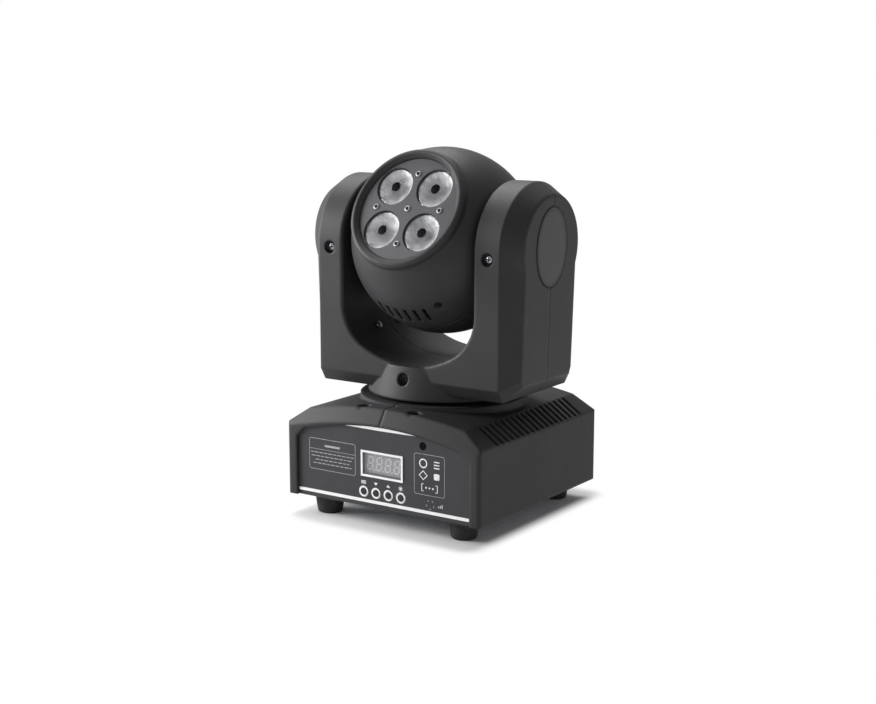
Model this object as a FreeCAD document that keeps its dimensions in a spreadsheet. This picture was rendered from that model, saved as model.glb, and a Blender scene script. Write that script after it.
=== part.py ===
# Double-sided moving head light: base with controls, U-shaped yoke, head with a lamp face on each side
# Frame: z = 0 is the floor under the feet, the pan axis is x = y = 0, and -y is the side with the display
import FreeCAD, Part
import math
import os
import re
import Sketcher
from FreeCAD import Placement, Rotation, Vector

doc = FreeCAD.newDocument("moving_head_light")
sheet = doc.addObject("Spreadsheet::Sheet", "dims")
pieces = {}


# Driving dimensions, in millimetres, degrees and counts
dimensions = {
    # Shared walls, gaps and screws
    "shellWall": 2.2, "fitGap": 0.2, "seamGap": 0.25, "bodyGap": 0.3, "slidePlay": 0.1, "runFit": 0.04,
    "cutOver": 1, "screwRadius": 1.5, "screwPlay": 0.1, "screwHead": 3.5, "screwHeadHeight": 2,
    "smallScrewHead": 2.8, "smallScrewHeight": 1.6, "smallScrewTail": 2, "boardThickness": 1.6, "cupWall": 3,
    # Cover of the base
    "baseWidth": 170, "baseDepth": 165, "feetHeight": 14.4, "wallHeight": 55, "coverRound": 2.5,
    "crownRadius": 350, "slopeWidth": 16.5, "slopeRise": 11.3, "bevelDown": 10.8, "bevelBack": 7,
    "bevelInsetBack": 1, "bevelInsetDown": 1.5, "platformRadius": 63, "platformTop": 88.4,
    "platformSkirt": 8.8, "turretOpening": 24, "openingInset": 8.4, "openingArch": 269,
    "openingCorner": 7, "openingSideTop": 59.3, "openingCornerTop": 66.2,
    "louvreCount": 18, "louvreMargin": 24, "louvreWidth": 3, "louvreLength": 19.2,
    "capX": 22, "capInset": 12, "capRadius": 4.9, "capFloor": 79, "postRadius": 6.5, "postRise": 5,
    # Front and rear panels
    "panelInset": 5, "panelThickness": 2.2, "panelLap": 1, "panelCornerLap": 3, "panelShoulder": 68.4,
    "panelCrest": 73.8, "stripeZ": 19, "stripeHeight": 2.3, "stripeInset": 0.4, "trimThickness": 0.4,
    "crescentHalf": 31, "crescentZ": 72.7, "crescentLower": 3000,
    # Display, buttons, remote eye and microphone on the control board
    "displayX": 0.4, "displayZ": 46.9, "displayWidth": 34.2, "displayHeight": 16.3, "bezelWidth": 1.5,
    "bezelLift": 0.6, "windowThickness": 1.4, "moduleDepth": 7.6, "moduleMargin": 1,
    "buttonCount": 4, "buttonPitch": 11, "buttonX": -16.2, "buttonZ": 25.7, "buttonRadius": 2.5,
    "buttonTravel": 0.5, "buttonProud": 0.8, "capTail": 1.5, "capCollar": 0.9, "capCollarWidth": 1,
    "stemRadius": 1.7, "switchSize": 6, "switchDepth": 3.5,
    "remoteX": 36.2, "remoteZ": 66.6, "remoteRadius": 3, "remoteEyeRadius": 2.4,
    "micX": 42.4, "micZ": 24.8, "micRadius": 3.2, "micHoleCount": 5, "micHoleRadius": 0.55,
    "micCaseRadius": 5, "micLength": 6, "boardSetback": 10.3, "controlWidth": 116, "controlHeight": 43,
    "controlZ": 18, "tabSize": 12, "tabLap": 2, "controlLegRadius": 3, "controlLegX": 48,
    "controlLegLow": 24, "controlLegHigh": 54,
    # Sockets of the rear panel
    "socketZ": 42, "flangeThickness": 1.8, "pinRoot": 1, "pinSetback": 4,
    "inletX": -42, "inletWidth": 27.4, "inletHeight": 20.4, "inletDepth": 24, "inletCavity": 16,
    "inletLug": 6, "inletLip": 2, "inletWall": 2, "bladeAcross": 2, "bladeUp": 4, "bladeX": 7, "bladeDrop": 4,
    "fuseX": -12, "fuseRadius": 6, "fuseCapRadius": 7.2, "fuseDepth": 16, "fuseSlotLength": 7.2,
    "fuseSlotWidth": 1.4, "fuseSlotDepth": 1.6,
    "socketInX": 14, "socketOutX": 50, "socketRadius": 11.8, "socketDepth": 16, "socketCavity": 12,
    "socketWall": 2, "socketFlangeSide": 1.5, "socketFlangeEnd": 4, "pinCircle": 5, "pinRadius": 1.2,
    # Tray and feet
    "trayThickness": 2.2, "trayLip": 6.5, "lipThickness": 1.5, "clampRadius": 5, "clampLength": 8,
    "bossWall": 3.5,
    "traySlotLength": 26, "traySlotWidth": 3, "traySlotX": 32, "traySlotPitch": 7, "traySlotCount": 7,
    "footInsetX": 24.8, "footInsetY": 18.8, "footRadius": 9.2, "footTopRadius": 11.4, "footWell": 7,
    "footWellRadius": 3.5, "footScrewLength": 11.6,
    # Deck, pan bearing and pan drive
    "deckZ": 62, "deckThickness": 2, "deckInset": 10, "deckInsetY": 16.5, "deckTabWidth": 58,
    "deckTabInset": 5,
    "deckWindowX": 50, "deckWindowWidth": 24, "deckWindowDepth": 60,
    "pillarInsetX": 15, "pillarInsetY": 24.5, "pillarRadius": 4, "motorSize": 35.2, "motorBoss": 1.5,
    "motorBossRadius": 11, "motorShaft": 2.5,
    "panMotorLength": 26, "panMotorY": 45, "panPulleyRadius": 31, "panPulleyTeeth": 93,
    "pinionRadius": 7, "panPinionTeeth": 21, "toothDepth": 0.6, "beltThickness": 1.2, "beltWidth": 6,
    "beltGap": 0.15, "pulleyZ": 66.5, "pulleyHeight": 8, "bearingRadius": 18.5, "bearingWidth": 7,
    "shaftRadius": 12.5, "shaftBore": 9, "shaftTail": 2, "shaftFlange": 2.5, "shaftFlangeWidth": 8,
    # Boards in the base
    "boardLift": 4, "boardInset": 41, "boardWidth": 50, "supplyDepth": 96, "logicDepth": 80,
    "boardLegRadius": 2.5,
    "boardLegInset": 5, "transformerWidth": 26, "transformerDepth": 28, "transformerHeight": 22,
    "reservoirRadius": 7, "reservoirHeight": 22, "coolingBarWidth": 3, "coolingBarDepth": 50,
    "coolingBarHeight": 18, "chokeSize": 14, "processorSize": 12, "processorHeight": 1.6, "plugRowWidth": 8,
    "plugRowDepth": 40, "chipSize": 9, "chipHeight": 3,
    # Yoke shells
    "turretBottom": 90.9, "turretRadius": 57, "turretTopRadius": 52, "armHalf": 49.4, "armSide": 79,
    "armTopZ": 199.7, "yokeBottom": 95.9, "edgeDown": 9, "edgeBack": 5.4, "mouthRadius": 2.5,
    "outerFootX": 89, "outerFootZ": 106.4, "outerLean": 1.9, "outerHalf": 35, "outerRadius": 38,
    "outerTopZ": 202.4, "outerBevelAcross": 2, "outerBevelUp": 5, "innerHalf": 57.5, "cornerRadius": 36,
    "bowRadius": 80.8, "bowBottom": 114.9, "recessRadius": 4.8, "recessDepth": 3.5, "recessWall": 1.6,
    "cupInset": 0.5, "armScrewX": 69.1, "armScrewZ": 197.3, "armScrewLength": 18,
    "turretHoleY": 50, "turretHoleZ": 105.6, "turretHoleRadius": 4.8, "turretCupReach": 2.8,
    "turretScrewLength": 12, "innerScrewY": 13.5, "innerScrewAngle": 35,
    "badgeZ": 203, "badgeSunk": 0.9, "badgeWidth": 42, "badgeHeight": 58, "badgeThickness": 1.2,
    # Yoke frame, tilt bearings and tilt drive
    "tiltHeight": 202, "tiltRest": 30, "frameX": 60.5, "frameWall": 2, "frameDepth": 36, "bearingCup": 5,
    "tiltBearingRadius": 8, "axleRadius": 5, "axleBore": 3, "axlePlay": 2, "tiltMotorLength": 16,
    "tiltMotorZ": 140, "tiltPinionRadius": 6, "tiltPinionTeeth": 16, "tiltPulleyRadius": 24,
    "tiltPulleyTeeth": 64, "tiltPulleyWidth": 5.5, "tiltBeltWidth": 4.5, "pulleyGap": 2,
    "driverWidth": 50, "driverHeight": 62, "driverZ": 118, "driverLegRadius": 2.2, "driverLegInset": 7,
    "driverLegY": 14, "driverChipY": 10,
    # Head shells
    "ballRadius": 69, "ballSide": 55, "collarRadius": 46.8, "collarFront": 57.5, "collarStep": 2.4,
    "collarDrop": 3, "collarBlend": 2.5, "rimRadius": 43, "boreRadius": 39.6, "seatRadius": 44.5,
    "ventPitch": 8, "ventWidth": 3, "ventFront": 22, "ventBack": 8, "ventFirst": -24, "ventCount": 6,
    "ventDepth": 30, "shellScrewX": 27.5, "shellScrewFront": 21.5, "shellScrewWell": 3,
    "shellScrewFloor": 54, "shellScrewEnd": 49,
    # Lamp faces: plate, lenses, lamps and heat sinks
    "plateFace": 54, "plateRadius": 44.3, "plateThickness": 2.5, "lensPitch": 34.4, "lensRadius": 14.6,
    "plateScrewCircle": 27.6, "plateScrewHead": 2.2, "plateScrewRise": 1.2, "plateScrewDepth": 3,
    "spacerRadius": 3, "lensFront": 52.8, "lensRim": 1.5, "lensConeRadius": 13.8, "lensBack": 40,
    "lensFootRadius": 7, "lensFootBore": 5, "lensWell": 3.5, "lensWellDepth": 4, "ledBoardRadius": 41,
    "ledBoardFace": 38.1, "ledBase": 5.4, "ledBaseHeight": 1, "ledRadius": 2.4, "ledHeight": 2.4,
    "sinkRadius": 44, "sinkFace": 36.5, "sinkBase": 4, "finPitch": 6, "finCount": 13, "finThickness": 1.5,
    "finReach": 42,
    # Fan and the brackets with the stub axles
    "fanSize": 60, "fanDepth": 15, "fanOpening": 28.5, "fanHoleRadius": 2, "fanHolePlace": 25,
    "hubRadius": 14, "bladeRadius": 27, "bladeWidth": 12, "bladeThickness": 1.2, "bladeAngle": 30,
    "bladeCount": 7, "fanPost": 2.5, "fanPlay": 0.4, "strutWidth": 3, "strutThickness": 0.8,
    "bracketHalf": 12, "bracketThickness": 2, "bracketTab": 10, "bracketTabStart": 38,
    "leftAxleEnd": 66, "rightAxleEnd": 86.5,
}
for row, (alias, amount) in enumerate(dimensions.items(), 1):
    sheet.set(f"A{row}", str(amount))
    sheet.setAlias(f"A{row}", alias)
doc.recompute()
# Places and lengths that follow from those, as texts over the sheet
derived = {
    "openingHalf": "baseWidth / 2 - openingInset", "openingCornerX": "openingHalf - openingCorner",
    "panelHalf": "baseWidth / 2 - panelInset", "stripeHalf": "openingHalf - stripeInset",
    "louvreSpan": "baseDepth - 2 * louvreMargin", "capY": "baseDepth / 2 - capInset",
    "boardY": "boardSetback + shellWall - baseDepth / 2", "boardX": "baseWidth / 2 - boardInset",
    "footX": "baseWidth / 2 - footInsetX", "footY": "baseDepth / 2 - footInsetY",
    "deckHalf": "baseWidth / 2 - deckInset", "deckDepth": "baseDepth / 2 - deckInsetY",
    "deckTabDepth": "baseDepth - 2 * deckTabInset",
    "pillarX": "baseWidth / 2 - pillarInsetX", "pillarY": "baseDepth / 2 - pillarInsetY",
}


# Expression text with derived names spelled out and the sheet's name in front of every alias
def cell(text):
    def spelled(word):
        if word[0] in derived:
            return f"({cell(derived[word[0]])})"
        return "dims." + word[0] if word[0] in dimensions else word[0]
    return re.sub(r"[A-Za-z]\w*", spelled, str(text))


# Value of such a text in millimetres or degrees
def size(text):
    answer = sheet.evalExpression(cell(text))
    return float(getattr(answer, "Value", answer))


# Binds properties of an object to texts over the sheet
def bind(item, **texts):
    for prop, text in texts.items():
        item.setExpression(prop.replace("__", "."), cell(text))
    return item


def stand(item, x, y, z, turn=None):
    item.Placement = Placement(Vector(size(x), size(y), size(z)), turn or Rotation())
    return bind(item, Placement__Base__x=x, Placement__Base__y=y, Placement__Base__z=z)


turns = {"x": Rotation(Vector(0, 1, 0), 90), "y": Rotation(Vector(1, 0, 0), -90), "z": Rotation()}


# Block centred on x and y, standing on z
def block(name, width, depth, height, x="0", y="0", z="0"):
    item = doc.addObject("Part::Box", name)
    bind(item, Length=width, Width=depth, Height=height)
    return stand(item, f"({x}) - ({width}) / 2", f"({y}) - ({depth}) / 2", z)


# Rod that starts at a point and runs along an axis
def rod(name, radius, length, x="0", y="0", z="0", along="z"):
    item = doc.addObject("Part::Cylinder", name)
    bind(item, Radius=radius, Height=length)
    return stand(item, x, y, z, turns[along])


def taper(name, radius, endRadius, length, x="0", y="0", z="0", along="z"):
    item = doc.addObject("Part::Cone", name)
    bind(item, Radius1=radius, Radius2=endRadius, Height=length)
    return stand(item, x, y, z, turns[along])


def fuse(name, *shapes):
    item = doc.addObject("Part::MultiFuse", name)
    item.Shapes = list(shapes)
    return item


def group(name, *links):
    item = doc.addObject("Part::Compound", name)
    item.Links = list(links)
    return item


# Cuts one tool, or several joined ones, out of a shape
def cut(name, shape, *tools):
    item = doc.addObject("Part::Cut", name)
    item.Base = shape
    item.Tool = tools[0] if len(tools) == 1 else fuse(name + "_tools", *tools)
    return item


def common(name, shape, tool):
    item = doc.addObject("Part::Common", name)
    item.Base = shape
    item.Tool = tool
    return item


def tube(name, radius, bore, length, x="0", y="0", z="0", along="z"):
    return cut(name, rod(name + "_outside", radius, length, x, y, z, along),
               rod(name + "_bore", bore, length, x, y, z, along))


# Names a finished piece, which is written to a file of that name
def keep(name, item):
    item.Label = name
    pieces[name] = item
    return item


def own_plane(body, role):
    return [item for item in body.Origin.OriginFeatures if item.Role == role][0]


# Sketch on one of a body's own planes, lifted along that plane's normal
def sketch(body, role, lift="0"):
    plane = own_plane(body, role)
    item = body.newObject("Sketcher::SketchObject", body.Name + "_sketch")
    item.AttachmentSupport = [(plane, "")]
    item.MapMode = "FlatFace"
    item.setExpression("AttachmentOffset.Base.z", cell(lift))
    return item


# Fixes one coordinate of a sketch point to a text over the sheet
def fix(item, edge, end, kind, text):
    amount = size(text)
    if abs(amount) < 1e-9:
        axis = -2 if kind == "DistanceX" else -1
        item.addConstraint(Sketcher.Constraint("PointOnObject", edge, end, axis))
        return
    number = item.addConstraint(Sketcher.Constraint(kind, -1, 1, edge, end, amount))
    item.setExpression(f"Constraints[{number}]", cell(text))


# Closed outline; a corner is (x, y) or (x, y, side, radius) where an arc leaves it, bulging to that side
def outline(item, corners):
    spots = [Vector(size(corner[0]), size(corner[1]), 0) for corner in corners]
    edges = []
    for index, corner in enumerate(corners):
        start, finish = spots[index], spots[(index + 1) % len(spots)]
        if len(corner) == 2:
            edges.append((item.addGeometry(Part.LineSegment(start, finish)), 1, 2))
            continue
        radius = size(corner[3])
        chord = finish - start
        side = Vector(chord.y, -chord.x, 0).normalize() * (1 if corner[2] == "right" else -1)
        depth = math.sqrt(max(radius ** 2 - (chord.Length / 2) ** 2, 0))
        middle = (start + finish) * 0.5 + side * (radius - depth)
        edge = item.addGeometry(Part.Arc(start, middle, finish))
        first, second = item.getPoint(edge, 1), item.getPoint(edge, 2)
        flipped = first.distanceToPoint(start) > second.distanceToPoint(start)
        edges.append((edge, 2, 1) if flipped else (edge, 1, 2))
        number = item.addConstraint(Sketcher.Constraint("Radius", edge, radius))
        item.setExpression(f"Constraints[{number}]", cell(corner[3]))
    for index, (edge, first, last) in enumerate(edges):
        following = edges[(index + 1) % len(edges)]
        item.addConstraint(Sketcher.Constraint("Coincident", edge, last, following[0], following[1]))
        fix(item, edge, first, "DistanceX", corners[index][0])
        fix(item, edge, first, "DistanceY", corners[index][1])


def ring(item, x, y, radius):
    edge = item.addGeometry(Part.Circle(Vector(size(x), size(y), 0), Vector(0, 0, 1), size(radius)))
    fix(item, edge, 3, "DistanceX", x)
    fix(item, edge, 3, "DistanceY", y)
    number = item.addConstraint(Sketcher.Constraint("Radius", edge, size(radius)))
    item.setExpression(f"Constraints[{number}]", cell(radius))


def rectangle(item, left, right, bottom, top):
    outline(item, [(left, bottom), (right, bottom), (right, top), (left, top)])


def new_body(name):
    return doc.addObject("PartDesign::Body", name)


def feature(body, kind, profile, **options):
    item = body.newObject("PartDesign::" + kind, body.Name + "_" + kind.lower())
    if profile is not None:
        item.Profile = profile
        profile.Visibility = False
    for prop, amount in options.items():
        setattr(item, prop, amount)
    return item


def pad(body, profile, length, middle=False):
    item = feature(body, "Pad", profile, Midplane=middle)
    return bind(item, Length=length)


# Pocket that has to take material away, so it is turned round where it points out of the solid
def pocket(body, profile, length, middle=False):
    doc.recompute()
    before = body.Shape.Volume
    item = feature(body, "Pocket", profile, Midplane=middle)
    bind(item, Length=length)
    doc.recompute()
    if body.Shape.Volume > before * 0.99999:
        item.Reversed = True
        doc.recompute()
    assert body.Shape.Volume < before, item.Name
    return item


def revolve(body, profile, axis="V_Axis"):
    return feature(body, "Revolution", profile, ReferenceAxis=(profile, [axis]), Angle=360)


# Edges of a shape that a test picks, by the names that fillets and chamfers use
def edge_names(shape, test):
    return [f"Edge{number}" for number, edge in enumerate(shape.Edges, 1) if test(edge)]


def on_plane(edge, axis, place, slack=0.01):
    return all(abs(getattr(vertex.Point, axis) - place) < slack for vertex in edge.Vertexes)


# Base: a crowned cover in two halves over a tray, with a recessed panel at the front and at the rear
def crown_corners(inset):
    side = f"baseWidth / 2 - {inset}"
    drop = "(sqrt(slopeWidth * slopeWidth + slopeRise * slopeRise) - slopeRise) / slopeWidth"
    wallTop = f"feetHeight + wallHeight - {inset} * {drop}"
    shoulder = "baseWidth / 2 - slopeWidth"
    shoulderTop = f"feetHeight + wallHeight + slopeRise - {inset}"
    return [(f"-({side})", "feetHeight"), (side, "feetHeight"), (side, wallTop),
            (shoulder, shoulderTop, "right", "crownRadius"), (f"-({shoulder})", shoulderTop),
            (f"-({side})", wallTop)]


# Opening in the front and rear walls: chamfered upper corners under a flat arch
def opening_corners():
    return [("-openingHalf", "feetHeight - cutOver"), ("openingHalf", "feetHeight - cutOver"),
            ("openingHalf", "openingSideTop"),
            ("openingCornerX", "openingCornerTop", "right", "openingArch"),
            ("-openingCornerX", "openingCornerTop"),
            ("-openingHalf", "openingSideTop")]


# Solid with the cover's outline, whose arched front and rear edges carry a wide bevel
def crown(name, inset, back, down):
    body = new_body(name)
    profile = sketch(body, "XZ_Plane")
    outline(profile, crown_corners(inset))
    solid = pad(body, profile, f"baseDepth - 2 * {inset}", middle=True)
    doc.recompute()
    half = size(f"baseDepth / 2 - {inset}")
    arches = edge_names(solid.Shape, lambda edge: edge.Curve.TypeId == "Part::GeomCircle"
                        and (on_plane(edge, "y", half) or on_plane(edge, "y", -half)))
    bevel = feature(body, "Chamfer", None, Base=(solid, arches), ChamferType="Two distances")
    bind(bevel, Size=back, Size2=down)
    doc.recompute()
    return body


def cover_block():
    body = crown("cover", "0", "bevelBack", "bevelDown")
    upright = size("wallHeight") / 2
    corners = edge_names(body.Shape, lambda edge: edge.Length > upright and abs(edge.tangentAt(0).z) > 0.99)
    bind(feature(body, "Fillet", None, Base=(body.Tip, corners)), Radius="coverRound")
    window = sketch(body, "XZ_Plane")
    outline(window, opening_corners())
    pocket(body, window, "baseDepth + shellWall", middle=True)
    slot = sketch(body, "XY_Plane")
    slope = Rotation(Vector(0, 1, 0), math.degrees(math.atan(size("slopeRise / slopeWidth"))))
    slot.AttachmentOffset = Placement(Vector(), slope)
    bind(slot, AttachmentOffset__Base__x="baseWidth / 2 - slopeWidth / 2",
         AttachmentOffset__Base__z="feetHeight + wallHeight + slopeRise / 2")
    rectangle(slot, "-louvreLength / 2", "louvreLength / 2", "-louvreSpan / 2 - louvreWidth / 2",
              "-louvreSpan / 2 + louvreWidth / 2")
    louvre = pocket(body, slot, "shellWall * 4", middle=True)
    louvres = body.newObject("PartDesign::MultiTransform", "louvres")
    louvres.Originals = [louvre]
    row = body.newObject("PartDesign::LinearPattern", "louvre_row")
    row.Direction = (slot, ["V_Axis"])
    bind(row, Length="louvreSpan", Occurrences="louvreCount")
    flip = body.newObject("PartDesign::Mirrored", "louvre_mirror")
    flip.MirrorPlane = (own_plane(body, "YZ_Plane"), [""])
    louvres.Transformations = [row, flip]
    body.Tip = louvres
    return body


def each_corner(x, y):
    return [(sideX, sideY) for sideX in (x, f"-{x}") for sideY in (y, f"-{y}")]


def base_shells():
    cavity = crown("cover_cavity", "shellWall", "bevelBack - bevelInsetBack",
                   "bevelDown - bevelInsetDown")
    crater = rod("platform_crater", "platformRadius - shellWall / 2", "wallHeight", z="deckZ")
    skin = cut("cover_skin", cover_block(), cavity, crater)
    skirt = tube("platform_skirt", "platformRadius", "platformRadius - shellWall", "platformSkirt",
                 z="platformTop - platformSkirt")
    disc = tube("platform_disc", "platformRadius", "turretOpening", "shellWall", z="platformTop - shellWall")
    foot = "deckZ + deckThickness"
    posts = [rod("cover_post", "postRadius", f"capFloor + postRise - ({foot})", x, y, foot)
             for x, y in each_corner("capX", "capY")]
    wells = [rod("cover_well", "capRadius", "wallHeight", x, y, "capFloor")
             for x, y in each_corner("capX", "capY")]
    bores = [rod("cover_bore", "screwRadius + screwPlay", "wallHeight", x, y, "deckZ")
             for x, y in each_corner("capX", "capY")]
    whole = cut("cover_whole", fuse("cover_ribbed", skin, skirt, disc, *posts), *wells, *bores)
    beyond = "(baseWidth + seamGap) / 2"
    for name, x in (("base_shell_left", f"-{beyond}"), ("base_shell_right", beyond)):
        half = block(name + "_half", "baseWidth", "baseDepth * 2", "platformTop * 2", x)
        keep(name, common(name, whole, half))


# Front and rear panels: plates behind the recessed openings
def panel_blank(name, lift):
    body = new_body(name)
    profile = sketch(body, "XZ_Plane", lift)
    outline(profile, [("-panelHalf", "feetHeight + fitGap"), ("panelHalf", "feetHeight + fitGap"),
                      ("panelHalf", "openingSideTop + panelLap"),
                      ("openingCornerX + panelCornerLap", "panelShoulder"),
                      ("openingHalf / 2", "panelCrest", "right", "crownRadius"),
                      ("-openingHalf / 2", "panelCrest"),
                      ("-openingCornerX - panelCornerLap", "panelShoulder"),
                      ("-panelHalf", "openingSideTop + panelLap")])
    pad(body, profile, "panelThickness")
    return body


panelFace = "baseDepth / 2 - shellWall"


def button_place(number):
    return f"buttonX + {number} * buttonPitch"


def front_panel():
    blank = panel_blank("front_panel_blank", "baseDepth / 2 - shellWall - panelThickness")
    through = f"-({panelFace}) - cutOver"
    depth = "panelThickness + 2 * cutOver"
    window = block("display_opening", "displayWidth", depth, "displayHeight", "displayX",
                   f"-({panelFace}) + panelThickness / 2", "displayZ - displayHeight / 2")
    holes = [rod("button_opening", "buttonRadius + slidePlay", depth, button_place(number), through,
                 "buttonZ", "y")
             for number in range(int(size("buttonCount")))]
    holes.append(rod("remote_opening", "remoteRadius", depth, "remoteX", through, "remoteZ", "y"))
    for number in range(int(size("micHoleCount"))):
        angle = 360 / size("micHoleCount") * number
        holes.append(rod("sound_opening", "micHoleRadius", depth, f"micX + micRadius * cos({angle} deg)",
                         through,
                         f"micZ + micRadius * sin({angle} deg)", "y"))
    keep("front_panel", cut("front_panel", blank, window, *holes))


# Silver trim: a straight strip low on the panel and a crescent under the cover's arch
def panel_trim():
    stripe = block("panel_stripe", "2 * stripeHalf", "trimThickness", "stripeHeight", "0",
                   f"-({panelFace}) - trimThickness / 2", "stripeZ - stripeHeight / 2")
    body = new_body("panel_crescent")
    profile = sketch(body, "XZ_Plane", panelFace)
    outline(profile, [("crescentHalf", "crescentZ", "right", "openingArch"),
                      ("-crescentHalf", "crescentZ", "left", "crescentLower")])
    pad(body, profile, "trimThickness")
    keep("panel_trim", group("panel_trim", stripe, body))


def display():
    frame = "2 * bezelWidth"
    y = f"-({panelFace}) - bezelLift / 2"
    ringed = cut("display_bezel",
                 block("bezel_outside", f"displayWidth + {frame}", "bezelLift", f"displayHeight + {frame}",
                       "displayX",
                       y, "displayZ - displayHeight / 2 - bezelWidth"),
                 block("bezel_inside", "displayWidth", "2 * bezelLift", "displayHeight", "displayX", y,
                       "displayZ - displayHeight / 2"))
    keep("display_bezel", ringed)
    keep("display_window", block("display_window", "displayWidth", "windowThickness", "displayHeight",
                                 "displayX",
                                 f"-({panelFace}) + windowThickness / 2", "displayZ - displayHeight / 2"))
    keep("display_module", block("display_module", "displayWidth - 2 * moduleMargin", "moduleDepth",
                                 "displayHeight - 2 * moduleMargin", "displayX", "boardY - moduleDepth / 2",
                                 "displayZ - displayHeight / 2 + moduleMargin"))


# Four sprung caps, each with a collar behind the panel and a switch behind the collar
def buttons():
    face = f"-({panelFace})"
    back = f"{face} + panelThickness"
    switches = []
    for number in range(int(size("buttonCount"))):
        x = button_place(number)
        cap = rod(f"cap_{number}", "buttonRadius", "buttonProud + panelThickness + capTail", x,
                  f"{face} - buttonProud",
                  "buttonZ", "y")
        collar = rod(f"cap_collar_{number}", "buttonRadius + capCollarWidth", "capCollar", x,
                     f"{back} + fitGap", "buttonZ", "y")
        keep(f"button_{number + 1}", fuse(f"button_{number + 1}", cap, collar))
        plunger = f"{back} + capTail + buttonTravel + slidePlay"
        stem = rod(f"switch_stem_{number}", "stemRadius", f"boardY - ({plunger})", x, plunger, "buttonZ", "y")
        case = block(f"switch_case_{number}", "switchSize", "switchDepth", "switchSize", x,
                     "boardY - switchDepth / 2", "buttonZ - switchSize / 2")
        switches.append(fuse(f"switch_{number}", stem, case))
    keep("button_switches", group("button_switches", *switches))


def remote_and_sound():
    face = f"-({panelFace})"
    lens = rod("remote_lens", "remoteRadius", "panelThickness", "remoteX", face, "remoteZ", "y")
    eye = rod("remote_eye", "remoteEyeRadius", f"boardY - ({face}) - panelThickness", "remoteX",
              f"{face} + panelThickness", "remoteZ", "y")
    keep("remote_receiver", fuse("remote_receiver", lens, eye))
    keep("microphone", rod("microphone", "micCaseRadius", "micLength", "micX", "boardY - micLength", "micZ",
                           "y"))
    board = block("control_board_main", "controlWidth", "boardThickness", "controlHeight", "0",
                  "boardY + boardThickness / 2", "controlZ")
    tab = block("control_board_tab", "tabSize", "boardThickness", "tabSize", "remoteX",
                "boardY + boardThickness / 2",
                "controlZ + controlHeight - tabLap")
    spots = [("controlLegX", "controlLegHigh"), ("-controlLegX", "controlLegHigh"),
             ("-controlLegX", "controlLegLow")]
    legs = [rod("control_board_leg", "controlLegRadius", f"boardY + ({panelFace}) - panelThickness", x,
                f"{face} + panelThickness", z, "y") for x, z in spots]
    keep("control_board", fuse("control_board", board, tab, *legs))


def rear_panel():
    blank = panel_blank("rear_panel_blank", "-baseDepth / 2 + shellWall")
    depth = "panelThickness + 2 * cutOver"
    y = f"{panelFace} - panelThickness - cutOver"
    inlet = block("inlet_opening", "inletWidth", depth, "inletHeight", "inletX",
                  f"{panelFace} - panelThickness / 2",
                  "socketZ - inletHeight / 2")
    holes = [rod("socket_opening", "socketRadius + slidePlay", depth, x, y, "socketZ", "y")
             for x in ("socketInX", "socketOutX")]
    holes.append(rod("fuse_opening", "fuseRadius + slidePlay", depth, "fuseX", y, "socketZ", "y"))
    keep("rear_panel", cut("rear_panel", blank, inlet, *holes))


# Mains inlet with three blades in an open cavity
def mains_inlet():
    flange = block("inlet_flange", "inletWidth + 2 * inletLug", "flangeThickness",
                   "inletHeight + 2 * inletLip", "inletX",
                   f"{panelFace} + flangeThickness / 2", "socketZ - inletHeight / 2 - inletLip")
    case = block("inlet_case", "inletWidth", "inletDepth", "inletHeight", "inletX",
                 f"{panelFace} - inletDepth / 2",
                 "socketZ - inletHeight / 2")
    cavity = block("inlet_cavity", "inletWidth - 2 * inletWall", "inletCavity + flangeThickness + cutOver",
                   "inletHeight - 2 * inletWall", "inletX",
                   f"{panelFace} - inletCavity / 2 + (flangeThickness + cutOver) / 2",
                   "socketZ - inletHeight / 2 + inletWall")
    length = "inletCavity + pinRoot - pinSetback"
    middle = f"{panelFace} - inletCavity - pinRoot + ({length}) / 2"
    blades = [block("inlet_blade", "bladeAcross", length, "bladeUp", f"inletX + {x}", middle,
                    f"socketZ + {z}")
              for x, z in (("-bladeX", "-bladeDrop"), ("bladeX", "-bladeDrop"), ("0", "0"))]
    keep("mains_inlet", fuse("mains_inlet", cut("inlet_hollow", fuse("inlet_whole", flange, case), cavity),
                             *blades))


def fuse_holder():
    cap = rod("fuse_cap", "fuseCapRadius", "flangeThickness", "fuseX", panelFace, "socketZ", "y")
    slot = block("fuse_slot", "fuseSlotLength", "fuseSlotDepth", "fuseSlotWidth", "fuseX",
                 f"{panelFace} + flangeThickness", "socketZ - fuseSlotWidth / 2")
    case = rod("fuse_case", "fuseRadius", "fuseDepth", "fuseX", f"{panelFace} - fuseDepth", "socketZ", "y")
    keep("fuse_holder", cut("fuse_holder", fuse("fuse_whole", cap, case), slot))


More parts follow.
